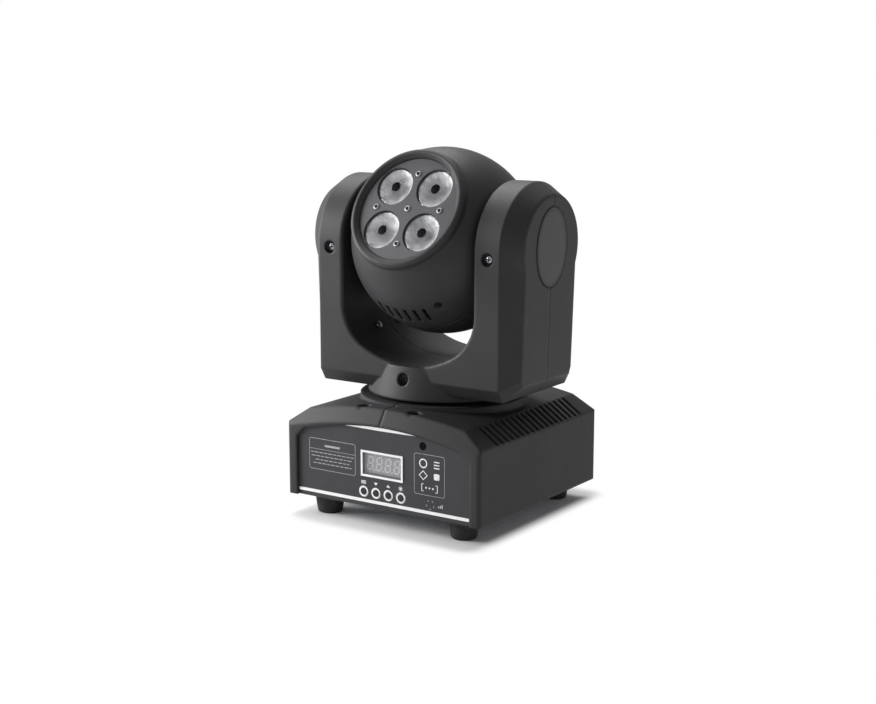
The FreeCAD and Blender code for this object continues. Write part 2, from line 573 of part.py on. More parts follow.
# Three-pole data sockets: pins in the one that takes the signal, holes in the one that passes it on
def data_sockets():
    for name, x, pins in (("data_in_socket", "socketInX", True), ("data_out_socket", "socketOutX", False)):
        flange = block(name + "_flange", "2 * (socketRadius + socketFlangeSide)", "flangeThickness",
                       "2 * (socketRadius + socketFlangeEnd)", x, f"{panelFace} + flangeThickness / 2",
                       "socketZ - socketRadius - socketFlangeEnd")
        case = rod(name + "_case", "socketRadius", "socketDepth", x, f"{panelFace} - socketDepth",
                   "socketZ", "y")
        whole = fuse(name + "_whole", flange, case)
        spots = [(f"({x}) + pinCircle * cos({angle} deg)", f"socketZ + pinCircle * sin({angle} deg)")
                 for angle in (30, 150, 270)]
        start = f"{panelFace} - socketCavity"
        length = "socketCavity + flangeThickness + cutOver"
        if pins:
            cavity = rod(name + "_cavity", "socketRadius - socketWall", length, x, start, "socketZ", "y")
            rods = [rod(name + "_pin", "pinRadius", "socketCavity + pinRoot - pinSetback", a,
                        f"{start} - pinRoot", b, "y")
                    for a, b in spots]
            keep(name, fuse(name, cut(name + "_hollow", whole, cavity), *rods))
            continue
        gap = cut(name + "_gap",
                  rod(name + "_ring", "socketRadius - socketWall / 2", length, x, start, "socketZ", "y"),
                  rod(name + "_core", "socketRadius - 3 * socketWall / 2", length, x, start, "socketZ", "y"))
        holes = [rod(name + "_hole", "pinRadius + fitGap", length, a, start, b, "y") for a, b in spots]
        keep(name, cut(name, whole, gap, *holes))


# Tray with a raised lip, a threaded boss for a hanging clamp and air slots
def base_tray():
    width = "baseWidth - 2 * shellWall - 2 * fitGap"
    depth = "baseDepth - 2 * shellWall - 2 * panelThickness - 2 * fitGap"
    floor = block("tray_floor", width, depth, "trayThickness", "0", "0", "feetHeight")
    lip = cut("tray_lip", block("tray_lip_outside", width, depth, "trayLip", "0", "0", "feetHeight"),
              block("tray_lip_inside", f"{width} - 2 * lipThickness", f"{depth} - 2 * lipThickness",
                    "trayLip * 2",
                    "0", "0", "feetHeight"))
    boss = rod("tray_boss", "clampRadius + bossWall", "clampLength", z="feetHeight")
    thread = rod("tray_thread", "clampRadius", "clampLength + 2 * cutOver", z="feetHeight - cutOver")
    holes = [rod("tray_foot_hole", "screwRadius", "trayLip", x, y, "feetHeight - cutOver")
             for x, y in each_corner("footX", "footY")]
    slots = [block("tray_slot", "traySlotLength", "traySlotWidth", "trayLip", x,
                   f"({number} - (traySlotCount - 1) / 2) * traySlotPitch", "feetHeight - cutOver")
             for x in ("-traySlotX", "traySlotX") for number in range(int(size("traySlotCount")))]
    keep("base_tray", cut("base_tray", fuse("tray_whole", floor, lip, boss), thread, *holes, *slots))


# Rubber feet, tapered down, each with a well for a screw from below
def rubber_feet():
    shapes = []
    for x, y in each_corner("footX", "footY"):
        cone = taper("foot_cone", "footRadius", "footTopRadius", "feetHeight", x, y)
        well = rod("foot_well", "footWellRadius", "footWell", x, y)
        shapes.append(cut("foot", cone, well, rod("foot_bore", "screwRadius", "feetHeight", x, y)))
    keep("rubber_feet", group("rubber_feet", *shapes))


# Cross-headed screw whose head starts at a point; the shank goes on along the direction
crossReachShare, crossWidthShare, crossDepthShare = 0.65, 0.28, 0.6


def screw(name, place, direction, headRadius, headHeight, length):
    head = Part.makeCylinder(headRadius, headHeight, place, direction)
    shank = Part.makeCylinder(size("screwRadius"), length, place + direction * headHeight, direction)
    across = Rotation(Vector(0, 0, 1), direction)
    whole = head.fuse(shank).removeSplitter()
    for turn in (0, 90):
        reach, width = headRadius * crossReachShare, headRadius * crossWidthShare
        bar = Part.makeBox(2 * reach, width, headHeight * crossDepthShare, Vector(-reach, -width / 2, 0))
        turned = across.multiply(Rotation(Vector(0, 0, 1), turn))
        bar.Placement = Placement(place, turned)
        whole = whole.cut(bar)
    return whole


# Piece made of solids worked out above from the sheet
def solids(name, shapes):
    item = doc.addObject("Part::Feature", name)
    item.Shape = Part.makeCompound(shapes) if len(shapes) > 1 else shapes[0]
    return item


def base_screws():
    shapes = []
    down, up, height = Vector(0, 0, -1), Vector(0, 0, 1), size("screwHeadHeight")
    for x, y in each_corner("capX", "capY"):
        place = Vector(size(x), size(y), size("capFloor") + height)
        shapes.append(screw("cover_screw", place, down, size("screwHead"), height, size("capFloor - deckZ")))
    for x, y in each_corner("footX", "footY"):
        place = Vector(size(x), size(y), size("footWell") - height)
        shapes.append(screw("foot_screw", place, up, size("smallScrewHead"), height, size("footScrewLength")))
    keep("base_screws", solids("base_screws", shapes))


# Steel deck on four pillars, which carries the pan bearing and the pan motor
def deck():
    plate = block("deck_plate", "2 * deckHalf", "2 * deckDepth", "deckThickness", z="deckZ")
    tabs = block("deck_tabs", "deckTabWidth", "deckTabDepth", "deckThickness", z="deckZ")
    cup = rod("deck_cup", "bearingRadius + cupWall", "bearingWidth", z="deckZ - bearingWidth + deckThickness")
    seat = rod("deck_seat", "bearingRadius", "deckZ", z="deckZ - bearingWidth + deckThickness")
    motorHole = rod("deck_motor_hole", "motorBossRadius + fitGap", "deckZ", "0", "panMotorY",
                    "deckZ - cutOver")
    taps = [rod("deck_tap", "screwRadius", "deckZ", x, y, "deckZ - cutOver")
            for x, y in each_corner("capX", "capY")]
    windows = [block("deck_window", "deckWindowWidth", "deckWindowDepth", "deckZ", x, "0", "deckZ - cutOver")
               for x in ("-deckWindowX", "deckWindowX")]
    keep("pan_deck", cut("pan_deck", fuse("deck_whole", plate, tabs, cup), seat, motorHole, *taps, *windows))
    floor = "feetHeight + trayThickness"
    pillars = [rod("deck_pillar", "pillarRadius", f"deckZ - ({floor})", x, y, floor)
               for x, y in each_corner("pillarX", "pillarY")]
    keep("deck_pillars", group("deck_pillars", *pillars))


def toothed(name, radius, bore, teeth, depth, height, place, direction):
    whole = Part.makeCylinder(radius, height, place, direction)
    turned = Rotation(Vector(0, 0, 1), direction)
    for number in range(teeth):
        spin = Rotation(Vector(0, 0, 1), 360 * number / teeth)
        groove = Part.makeCylinder(depth, height, Vector(radius, 0, 0))
        groove.Placement = Placement(place, turned.multiply(spin))
        whole = whole.cut(groove)
    return whole.cut(Part.makeCylinder(bore, height, place, direction))


# Closed belt round two pulleys in the plane across a direction; both radii are to its inner face
def belt(name, first, second, firstRadius, secondRadius, direction, width, thickness):
    def loop(extra):
        along = second - first
        span = along.Length
        along.normalize()
        side = direction.cross(along)
        lean = math.asin((firstRadius - secondRadius) / span)
        spots = []
        for sign in (1, -1):
            away = along * math.sin(lean) + side * math.cos(lean) * sign
            spots.append((first + away * (firstRadius + extra), second + away * (secondRadius + extra)))
        back, front = first - along * (firstRadius + extra), second + along * (secondRadius + extra)
        edges = [Part.LineSegment(spots[0][0], spots[0][1]).toShape(),
                 Part.Arc(spots[0][1], front, spots[1][1]).toShape(),
                 Part.LineSegment(spots[1][1], spots[1][0]).toShape(),
                 Part.Arc(spots[1][0], back, spots[0][0]).toShape()]
        return Part.Face(Part.Wire(edges)).extrude(direction * width)
    return solids(name, [loop(thickness).cut(loop(0))])


motorChamferShare = 0.11


def motor(name, length, place, direction, shaft):
    across = size("motorSize")
    case = Part.makeBox(across, across, length, Vector(-across / 2, -across / 2, -length))
    corners = [edge for edge in case.Edges if abs(edge.tangentAt(0).z) > 0.9]
    case = case.makeChamfer(across * motorChamferShare, corners)
    boss = Part.makeCylinder(size("motorBossRadius"), size("motorBoss"))
    pin = Part.makeCylinder(size("motorShaft"), shaft)
    whole = case.fuse(boss).fuse(pin).removeSplitter()
    whole.Placement = Placement(place, Rotation(Vector(0, 0, 1), direction))
    return solids(name, [whole])


def pan_drive():
    up = Vector(0, 0, 1)
    keep("pan_motor", motor("pan_motor", size("panMotorLength"),
                            Vector(0, size("panMotorY"), size("deckZ")), up,
                            size("pulleyZ + pulleyHeight - deckZ")))
    pinion = toothed("pan_pinion", size("pinionRadius"), size("motorShaft"), int(size("panPinionTeeth")),
                     size("toothDepth"), size("pulleyHeight"),
                     Vector(0, size("panMotorY"), size("pulleyZ")), up)
    keep("pan_pinion", solids("pan_pinion", [pinion]))
    gap, beltZ = size("beltGap"), size("pulleyZ + (pulleyHeight - beltWidth) / 2")
    keep("pan_belt", belt("pan_belt", Vector(0, 0, beltZ), Vector(0, size("panMotorY"), beltZ),
                          size("panPulleyRadius") + gap, size("pinionRadius") + gap, up, size("beltWidth"),
                          size("beltThickness")))
    low = size("deckZ - bearingWidth + deckThickness")
    outer = Part.makeCylinder(size("bearingRadius"), size("bearingWidth"), Vector(0, 0, low))
    bore = Part.makeCylinder(size("shaftRadius") + size("runFit"), size("bearingWidth"), Vector(0, 0, low))
    keep("pan_bearing", solids("pan_bearing", [outer.cut(bore)]))


# Places of the parts on a board, as shares of its width and depth from its middle
supplyShares = {"transformer": (-0.12, -0.23), "reservoir_1": (0.31, -0.31), "reservoir_2": (0.31, -0.125),
                "cooling_bar": (-0.36, 0.19), "choke": (0.08, 0.31)}
logicShares = {"processor": (0, 0), "plug_row": (0.32, 0), "logic_chip_1": (-0.16, 0.275),
               "logic_chip_2": (-0.16, -0.3)}
partSizes = {"transformer": ("transformerWidth", "transformerDepth", "transformerHeight"),
             "reservoir_1": ("reservoirRadius", "reservoirHeight"),
             "reservoir_2": ("reservoirRadius", "reservoirHeight"),
             "cooling_bar": ("coolingBarWidth", "coolingBarDepth", "coolingBarHeight"),
             "choke": ("chokeSize", "chokeSize", "chokeSize"),
             "processor": ("processorSize", "processorSize", "processorHeight"),
             "plug_row": ("plugRowWidth", "plugRowDepth", "plugRowWidth"),
             "logic_chip_1": ("chipSize", "chipSize", "chipHeight"),
             "logic_chip_2": ("chipSize", "chipSize", "chipHeight")}


# Boards in the base on short legs: the supply on the left and the logic on the right
def boards():
    floor = "feetHeight + trayThickness"
    top = f"{floor} + boardLift + boardThickness"
    for name, x, depth, shares in (("supply_board", "-boardX", "supplyDepth", supplyShares),
                                   ("main_board", "boardX", "logicDepth", logicShares)):
        plate = block(name + "_plate", "boardWidth", depth, "boardThickness", x, "0", f"{floor} + boardLift")
        legs = [rod(name + "_leg", "boardLegRadius", "boardLift",
                    f"{x} + {sideX} * (boardWidth / 2 - boardLegInset)",
                    f"{sideY} * ({depth} / 2 - boardLegInset)", floor)
                for sideX in (-1, 1) for sideY in (-1, 1)]
        extras = []
        for part, (shareX, shareY) in shares.items():
            make = rod if len(partSizes[part]) == 2 else block
            extras.append(make(part, *partSizes[part], f"{x} + {shareX} * boardWidth",
                               f"{shareY} * {depth}", top))
        keep(name, fuse(name, plate, *legs, *extras))


# Yoke: a U on a conical turret, in a front and a rear half
def arm_side(inset):
    half = f"armHalf - {inset}"
    low = f"yokeBottom + {inset}"
    crest = f"armTopZ + armHalf - {inset}"
    return [(f"-({half} - edgeBack)", low), (f"{half} - edgeBack", low), (half, f"{low} + edgeDown"),
            (half, "armTopZ", "right", half), ("0", crest, "right", half), (f"-({half})", "armTopZ"),
            (f"-({half})", f"{low} + edgeDown")]


# Outer face of an arm: a round head about the tilt axis on a narrower stem
def arm_outer(inset):
    half = f"outerHalf - {inset}"
    radius = f"outerRadius - {inset}"
    low = f"outerFootZ + {inset}"
    join = f"outerTopZ - sqrt(({radius}) * ({radius}) - ({half}) * ({half}))"
    return [(f"-({half} - outerBevelAcross)", low), (f"{half} - outerBevelAcross", low),
            (half, f"{low} + outerBevelUp"),
            (half, join, "right", radius), ("0", f"outerTopZ + {radius}", "right", radius),
            (f"-({half})", join),
            (f"-({half})", f"{low} + outerBevelUp")]


# Opening of the U: straight inner walls, round corners and a flat bow, each tangent to the next
def opening_of_u(inset):
    half = f"innerHalf + {inset}"
    corner = f"cornerRadius + {inset}"
    bow = f"bowRadius + {inset}"
    bowZ = "bowBottom + bowRadius"
    reach = "(bowRadius - cornerRadius)"
    off = "(innerHalf - cornerRadius)"
    cornerZ = f"{bowZ} - sqrt({reach} * {reach} - {off} * {off})"
    meetX = f"{off} * ({bow}) / {reach}"
    meetZ = f"{bowZ} - sqrt({reach} * {reach} - {off} * {off}) * ({bow}) / {reach}"
    return [(f"-({half})", "2 * armTopZ"), (f"-({half})", cornerZ, "right", corner),
            (f"-{meetX}", meetZ, "right", bow), (meetX, meetZ, "right", corner), (half, cornerZ),
            (half, "2 * armTopZ")]


# Rounds the edges of a body that a test picks
def soften(body, radius, test):
    doc.recompute()
    names = edge_names(body.Shape, test)
    rounding = feature(body, "Fillet", None, Base=(body.Tip, names))
    bind(rounding, Radius=radius)
    doc.recompute()
    assert "Invalid" not in rounding.State, body.Name


def in_mouth(edge):
    reach, wall = size("armHalf"), size("innerHalf")
    at_face = on_plane(edge, "y", reach) or on_plane(edge, "y", -reach)
    at_wall = on_plane(edge, "x", wall) or on_plane(edge, "x", -wall)
    inside = max(abs(vertex.Point.x) for vertex in edge.Vertexes) < wall + size("fitGap")
    return inside and ((at_face and edge.CenterOfMass.z > size("bowBottom - cutOver"))
                       or (at_wall and edge.CenterOfMass.z > size("armTopZ")))


def yoke_block(name, inset, rounded):
    body = new_body(name)
    side = sketch(body, "YZ_Plane")
    outline(side, arm_side(inset))
    pad(body, side, "2 * armSide", middle=True)
    gap = sketch(body, "XZ_Plane")
    outline(gap, opening_of_u(inset))
    pocket(body, gap, "4 * armHalf", middle=True)
    if rounded:
        soften(body, "mouthRadius", in_mouth)
    near = sketch(body, "YZ_Plane", "armSide")
    outline(near, arm_side(inset))
    far = sketch(body, "YZ_Plane")
    far.AttachmentOffset = Placement(Vector(), Rotation(Vector(1, 0, 0), size("outerLean")))
    bind(far, AttachmentOffset__Base__z=f"outerFootX - outerFootZ * tan(outerLean * 1 deg) - {inset}")
    outline(far, arm_outer(inset))
    doc.recompute()
    wing = feature(body, "AdditiveLoft", near, Sections=[far], Ruled=True)
    doc.recompute()
    body.Tip = feature(body, "Mirrored", None, Originals=[wing],
                       MirrorPlane=(own_plane(body, "YZ_Plane"), [""]))
    if rounded:
        soften(body, "mouthRadius", lambda edge: min(abs(vertex.Point.x) for vertex in edge.Vertexes)
               > size("outerFootX - cutOver"))
    turret = sketch(body, "XZ_Plane")
    outline(turret, [("0", f"turretBottom + {inset}"), (f"turretRadius - {inset}", f"turretBottom + {inset}"),
                     (f"turretTopRadius - {inset}", f"bowBottom - {inset}"), ("0", f"bowBottom - {inset}")])
    revolve(body, turret)
    return body


def arm_screw_spots():
    return [(x, side, "armScrewZ") for x in ("armScrewX", "-armScrewX") for side in (-1, 1)]


# Spots of the small screws on the inner walls, each with the direction that its head looks to
def inner_screw_spots():
    spots = []
    centre = Vector(size("innerHalf - cornerRadius"), 0, 0)
    bow = size("bowBottom + bowRadius")
    reach, off = size("bowRadius - cornerRadius"), size("innerHalf - cornerRadius")
    centre.z = bow - math.sqrt(reach ** 2 - off ** 2)
    angle = math.radians(size("innerScrewAngle"))
    for side in (-1, 1):
        for y in (-size("innerScrewY"), size("innerScrewY")):
            away = Vector(math.cos(angle) * side, 0, -math.sin(angle))
            place = Vector(centre.x * side, y, centre.z) + away * size("cornerRadius")
            spots.append((place, away))
    return spots


# Rod along y between two distances from the middle, on one side of it
def across(name, radius, near, far, x, z, side):
    return rod(name, radius, f"({far}) - ({near})", x, near if side > 0 else f"-({far})", z, "y")


def yoke_shells():
    outer = yoke_block("yoke_outer", "0", True)
    skin = cut("yoke_skin", outer, yoke_block("yoke_cavity", "shellWall", False))
    tools = [rod("turret_hole", "turretOpening", "shellWall + 2 * cutOver", z="turretBottom - cutOver")]
    cups = []
    for x, side, z in arm_screw_spots():
        floor = "armHalf - recessDepth"
        cups.append(across("screw_cup", "recessRadius + recessWall", f"{floor} - shellWall",
                           "armHalf - cupInset", x, z,
                           side))
        tools.append(across("screw_recess", "recessRadius", floor, "armHalf + cutOver", x, z, side))
        tools.append(across("screw_bore", "screwRadius", f"{floor} - 2 * shellWall", "armHalf", x, z, side))
    for side in (-1, 1):
        cups.append(across("turret_cup", "turretHoleRadius + recessWall", "turretHoleY - shellWall",
                           "turretHoleY + turretCupReach", "0", "turretHoleZ", side))
        tools.append(across("turret_recess", "turretHoleRadius", "turretHoleY", "turretRadius + cutOver", "0",
                            "turretHoleZ", side))
        tools.append(across("turret_bore", "screwRadius", "turretHoleY - 2 * shellWall", "turretRadius", "0",
                            "turretHoleZ", side))
        tools.append(rod("axle_hole", "axleRadius + axlePlay", "3 * shellWall",
                         "innerHalf - shellWall" if side > 0 else "-innerHalf - 2 * shellWall", "0",
                         "tiltHeight",
                         "x"))
        tools.append(badge_solid("badge_seat", side, "fitGap", "2 * badgeThickness"))
    for place, away in inner_screw_spots():
        hole = Part.makeCylinder(size("screwRadius"), size("shellWall") * 3,
                                 place - away * size("shellWall"), away)
        tools.append(solids("inner_screw_hole", [hole]))
    whole = cut("yoke_whole", fuse("yoke_cupped", skin, *cups), *tools)
    keep("yoke_front_shell", common("yoke_front_shell", whole,
                                    block("yoke_front_half", "4 * armSide", "4 * armHalf", "3 * armTopZ", "0",
                                          "-2 * armHalf - seamGap / 2")))
    keep("yoke_rear_shell", common("yoke_rear_shell", whole,
                                   block("yoke_rear_half", "4 * armSide", "4 * armHalf", "3 * armTopZ", "0",
                                         "2 * armHalf + seamGap / 2")))


# Oval plate in the leaning plane of the right arm's outer face, mirrored for the left arm
def badge_solid(name, side, gap, thickness):
    lean = Rotation(Vector(0, 1, 0), 90 + size("outerLean"))
    normal = lean.multVec(Vector(0, 0, 1))
    oval = Part.Ellipse(Vector(), size(f"badgeHeight / 2 + {gap}"), size(f"badgeWidth / 2 + {gap}")).toShape()
    plate = Part.Face(Part.Wire(oval)).extrude(Vector(0, 0, size(thickness)))
    rise = size("badgeZ - outerFootZ") * math.tan(math.radians(size("outerLean")))
    place = Vector(size("outerFootX") + rise, 0, size("badgeZ")) - normal * size("badgeSunk")
    plate.Placement = Placement(place, lean)
    return solids(name, [plate if side > 0 else plate.mirror(Vector(), Vector(1, 0, 0))])


def badges():
    for name, side in (("badge_right", 1), ("badge_left", -1)):
        keep(name, badge_solid(name, side, "0", "badgeThickness"))


# Steel U in the yoke, which carries the tilt bearings, the tilt motor and the pan shaft
def yoke_frame():
    foot = "yokeBottom + shellWall + bodyGap"
    armHeight = f"tiltHeight + frameDepth / 2 - ({foot})"
    floor = block("frame_floor", "2 * frameX + 2 * frameWall", "frameDepth", "frameWall", z=foot)
    arms, cups, seats = [], [], []
    for side, x in ((1, "frameX + frameWall / 2"), (-1, "-frameX - frameWall / 2")):
        arms.append(block("frame_arm", "frameWall", "frameDepth", armHeight, x, "0", foot))
        start = "frameX" if side > 0 else "-frameX - bearingCup"
        cups.append(rod("frame_cup", "tiltBearingRadius + frameWall", "bearingCup", start, "0",
                        "tiltHeight", "x"))
        seats.append(rod("frame_seat", "tiltBearingRadius", "bearingCup + 2 * cutOver",
                         f"{start} - cutOver", "0", "tiltHeight", "x"))
    hole = rod("frame_hole", "shaftBore", "2 * frameWall + 2 * cutOver", z=f"{foot} - cutOver")
    keep("yoke_frame", cut("yoke_frame", fuse("frame_whole", floor, *arms, *cups), hole, *seats))
    rings = []
    for start in ("frameX", "-frameX - bearingCup"):
        rings.append(tube("tilt_bearing", "tiltBearingRadius", "axleRadius + runFit", "bearingCup", start,
                          "0",
                          "tiltHeight", "x"))
    keep("tilt_bearings", group("tilt_bearings", *rings))


# Hollow pan shaft under the frame, with its large pulley, whose web has round holes
pulleyHoles = 6
pulleyHoleShare, pulleyCircleShare = 0.2, 0.7


def pan_shaft():
    top = "yokeBottom + shellWall + bodyGap"
    low = "deckZ - bearingWidth + deckThickness - shaftTail"
    stem = rod("shaft_stem", "shaftRadius", f"{top} - ({low})", z=low)
    flange = rod("shaft_flange", "shaftRadius + shaftFlangeWidth", "shaftFlange", z=f"{top} - shaftFlange")
    bore = rod("shaft_hollow", "shaftBore", f"{top} - ({low}) + 2 * cutOver", z=f"{low} - cutOver")
    keep("pan_shaft", cut("pan_shaft", fuse("shaft_whole", stem, flange), bore))
    wheel = toothed("pan_pulley", size("panPulleyRadius"), size("shaftRadius + runFit"),
                    int(size("panPulleyTeeth")),
                    size("toothDepth"), size("pulleyHeight"), Vector(0, 0, size("pulleyZ")), Vector(0, 0, 1))
    circle = size("panPulleyRadius") * pulleyCircleShare
    for number in range(pulleyHoles):
        angle = 2 * math.pi * number / pulleyHoles
        place = Vector(circle * math.cos(angle), circle * math.sin(angle), size("pulleyZ"))
        wheel = wheel.cut(Part.makeCylinder(size("panPulleyRadius") * pulleyHoleShare, size("pulleyHeight"),
                                            place))
    keep("pan_pulley", solids("pan_pulley", [wheel]))


def tilt_drive():
    right = Vector(1, 0, 0)
    plate = size("frameX + frameWall")
    face = plate + size("tiltMotorLength")
    low = Vector(face, 0, size("tiltMotorZ"))
    keep("tilt_motor", motor("tilt_motor", size("tiltMotorLength"), low, right,
                             size("pulleyGap + tiltPulleyWidth + fitGap")))
    start = face + size("pulleyGap")
    pinion = toothed("tilt_pinion", size("tiltPinionRadius"), size("motorShaft"),
                     int(size("tiltPinionTeeth")),
                     size("toothDepth"), size("tiltPulleyWidth"), Vector(start, 0, size("tiltMotorZ")), right)
    keep("tilt_pinion", solids("tilt_pinion", [pinion]))
    gap, beltX = size("beltGap"), start + size("(tiltPulleyWidth - tiltBeltWidth) / 2")
    keep("tilt_belt", belt("tilt_belt", Vector(beltX, 0, size("tiltHeight")),
                           Vector(beltX, 0, size("tiltMotorZ")),
                           size("tiltPulleyRadius") + gap, size("tiltPinionRadius") + gap, right,
                           size("tiltBeltWidth"), size("beltThickness")))
    wheel = toothed("tilt_pulley", size("tiltPulleyRadius"), size("axleRadius + runFit"),
                    int(size("tiltPulleyTeeth")),
                    size("toothDepth"), size("tiltPulleyWidth"), Vector(start, 0, size("tiltHeight")), right)
    keep("tilt_pulley", solids("tilt_pulley", [wheel]))


# Driver board on short legs outside the left arm of the frame; its chips lie at shares of its height
chipHeightShares = (0.4, 0.7)


def driver_board():
    back = "frameX + frameWall + boardLift"
    plate = block("driver_plate", "boardThickness", "driverWidth", "driverHeight",
                  f"-({back} + boardThickness / 2)", "0", "driverZ")
    legs = [rod("driver_leg", "driverLegRadius", "boardLift", f"-({back})", y, z, "x")
            for y in ("-driverLegY", "driverLegY")
            for z in ("driverZ + driverLegInset", "driverZ + driverHeight - driverLegInset")]
    chips = [block("driver_chip", "chipHeight", "chipSize", "chipSize",
                   f"-({back} + boardThickness + chipHeight / 2)", y,
                   f"driverZ + {share} * driverHeight - chipSize / 2")
             for y in ("-driverChipY", "driverChipY") for share in chipHeightShares]
    keep("driver_board", fuse("driver_board", plate, *legs, *chips))


def yoke_screws():
    shapes = []
    height = size("screwHeadHeight")
    for x, side, z in arm_screw_spots():
        place = Vector(size(x), side * (size("armHalf - recessDepth") + height), size(z))
        shapes.append(screw("arm_screw", place, Vector(0, -side, 0), size("smallScrewHead"), height,
                            size("armScrewLength")))
    for side in (-1, 1):
        place = Vector(0, side * (size("turretHoleY") + height), size("turretHoleZ"))
        shapes.append(screw("turret_screw", place, Vector(0, -side, 0), size("screwHead"), height,
                            size("turretScrewLength")))
    # A flat head stands off the hollow corner by the corner's rise across the head
    height = size("smallScrewHeight")
    rise = size("cornerRadius - sqrt(cornerRadius ^ 2 - smallScrewHead ^ 2) + runFit")
    for place, away in inner_screw_spots():
        shapes.append(screw("inner_screw", place - away * (height + rise), away, size("smallScrewHead"),
                            height,
                            size("shellWall + smallScrewTail")))
    keep("yoke_screws", solids("yoke_screws", shapes))


# Head: a ball with flat sides, a collar and a lamp face at the front, and the same again at the rear
# Its pieces are made with the front towards -y and the pivot at the origin, then turned and lifted
headFront = Placement(Vector(0, 0, size("tiltHeight")), Rotation(Vector(1, 0, 0), -size("tiltRest")))
headRear = Placement(Vector(0, 0, size("tiltHeight")), Rotation(Vector(1, 0, 0), 180 - size("tiltRest")))


# Keeps a finished head piece, set in its place
def seat(name, item, placement):
    placed = group(name + "_placed", item)
    placed.Placement = placement
    bind(placed, Placement__Base__z="tiltHeight")
    keep(name, placed)


def both_faces(name, item):
    seat(name + "_front", item, headFront)
    seat(name + "_rear", item, headRear)


def flatten(body, half):
    sides = sketch(body, "XY_Plane")
    rectangle(sides, half, "2 * ballRadius", "-2 * ballRadius", "ballRadius")
    rectangle(sides, "-2 * ballRadius", f"-({half})", "-2 * ballRadius", "ballRadius")
    pocket(body, sides, "4 * ballRadius", middle=True)


def head_outer():
    body = new_body("head_outer")
    profile = sketch(body, "XY_Plane")
    neck = "-sqrt(ballRadius * ballRadius - collarRadius * collarRadius)"
    outline(profile, [("0", "0"), ("ballRadius", "0", "left", "ballRadius"), ("collarRadius", neck),
                      ("collarRadius", "-(collarFront - collarDrop)", "left", "collarDrop"),
                      ("collarRadius - collarStep", "-collarFront"), ("0", "-collarFront")])
    revolve(body, profile)
    flatten(body, "ballSide")
    neckY = size(neck)
    soften(body, "collarBlend", lambda edge: on_plane(edge, "y", neckY)
           and abs(edge.CenterOfMass.x) < 1 and edge.Length > size("collarRadius"))
    return body


def head_cavity():
    body = new_body("head_cavity")
    profile = sketch(body, "XY_Plane")
    inner = "(ballRadius - shellWall)"
    shoulder = f"-sqrt({inner} * {inner} - seatRadius * seatRadius)"
    outline(profile, [("0", "0"), (inner, "0", "left", inner), ("seatRadius", shoulder),
                      ("seatRadius", "-plateFace"),
                      ("boreRadius", "-plateFace"), ("rimRadius", "-collarFront"),
                      ("rimRadius", "-ballRadius"),
                      ("0", "-ballRadius")])
    revolve(body, profile)
    flatten(body, "ballSide - shellWall")
    return body


# Half shell with slots for the air and a sunk screw on the underside
def head_shells():
    outer = head_outer()
    skin = cut("head_skin", outer, head_cavity())
    post = common("head_post", outer,
                  rod("head_post_rod", "shellScrewWell + shellWall", "ballRadius - shellScrewEnd",
                                          "shellScrewX", "-shellScrewFront", "-ballRadius"))
    well = rod("head_well", "shellScrewWell", "ballRadius - shellScrewFloor", "shellScrewX",
               "-shellScrewFront",
               "-ballRadius")
    bore = rod("head_bore", "screwRadius", "ballRadius", "shellScrewX", "-shellScrewFront", "-ballRadius")
    axle = rod("head_axle_hole", "axleRadius + fitGap", "2 * ballRadius", "-ballRadius", along="x")
    vents = [block("head_vent", "ventWidth", "ventFront - ventBack", "ventDepth",
                   f"ventFirst + {number} * ventPitch", "-(ventFront + ventBack) / 2", "-ballRadius")
             for number in range(int(size("ventCount")))]
    half = cut("head_half", fuse("head_posted", skin, post), well, bore, axle, *vents)
    seat("head_front_shell", half, headFront)
    seat("head_rear_shell", half, headRear)


def lens_places():
    return [(x, z) for x in ("lensPitch / 2", "-lensPitch / 2") for z in ("lensPitch / 2", "-lensPitch / 2")]


def plate_screw_places():
    return [("0", "0"), ("plateScrewCircle", "0"), ("-plateScrewCircle", "0"), ("0", "plateScrewCircle"),
            ("0", "-plateScrewCircle")]


# Round plate with four lens openings, standing on spacers
def face_plates():
    body = new_body("face_plate")
    profile = sketch(body, "XZ_Plane", "plateFace - plateThickness")
    ring(profile, "0", "0", "plateRadius")
    for x, z in lens_places():
        ring(profile, x, z, "lensRadius + bodyGap")
    for x, z in plate_screw_places():
        ring(profile, x, z, "screwRadius")
    pad(body, profile, "plateThickness")
    spacers = [tube("plate_spacer", "spacerRadius", "screwRadius",
                    "plateFace - plateThickness - ledBoardFace", x,
                    "-(plateFace - plateThickness)", z, "y") for x, z in plate_screw_places()]
    both_faces("face_plate", fuse("face_plate_spaced", body, *spacers))


# Clear collimating lenses: a rim, a cone down to a foot, and a well over the lamp
def lenses():
    shapes = []
    for x, z in lens_places():
        rim = rod("lens_rim", "lensRadius", "lensRim", x, "-lensFront", z, "y")
        cone = taper("lens_cone", "lensConeRadius", "lensFootRadius", "lensFront - lensRim - lensBack", x,
                     "-lensFront + lensRim", z, "y")
        foot = rod("lens_foot", "lensFootRadius", "lensBack - ledBoardFace", x, "-lensBack", z, "y")
        gap = rod("lens_foot_bore", "lensFootBore", "lensBack - ledBoardFace", x, "-lensBack", z, "y")
        well = rod("lens_well", "lensWell", "2 * lensWellDepth", x, "-lensBack - lensWellDepth", z, "y")
        shapes.append(cut("lens", fuse("lens_whole", rim, cone, foot), gap, well))
    both_faces("lenses", group("lenses", *shapes))


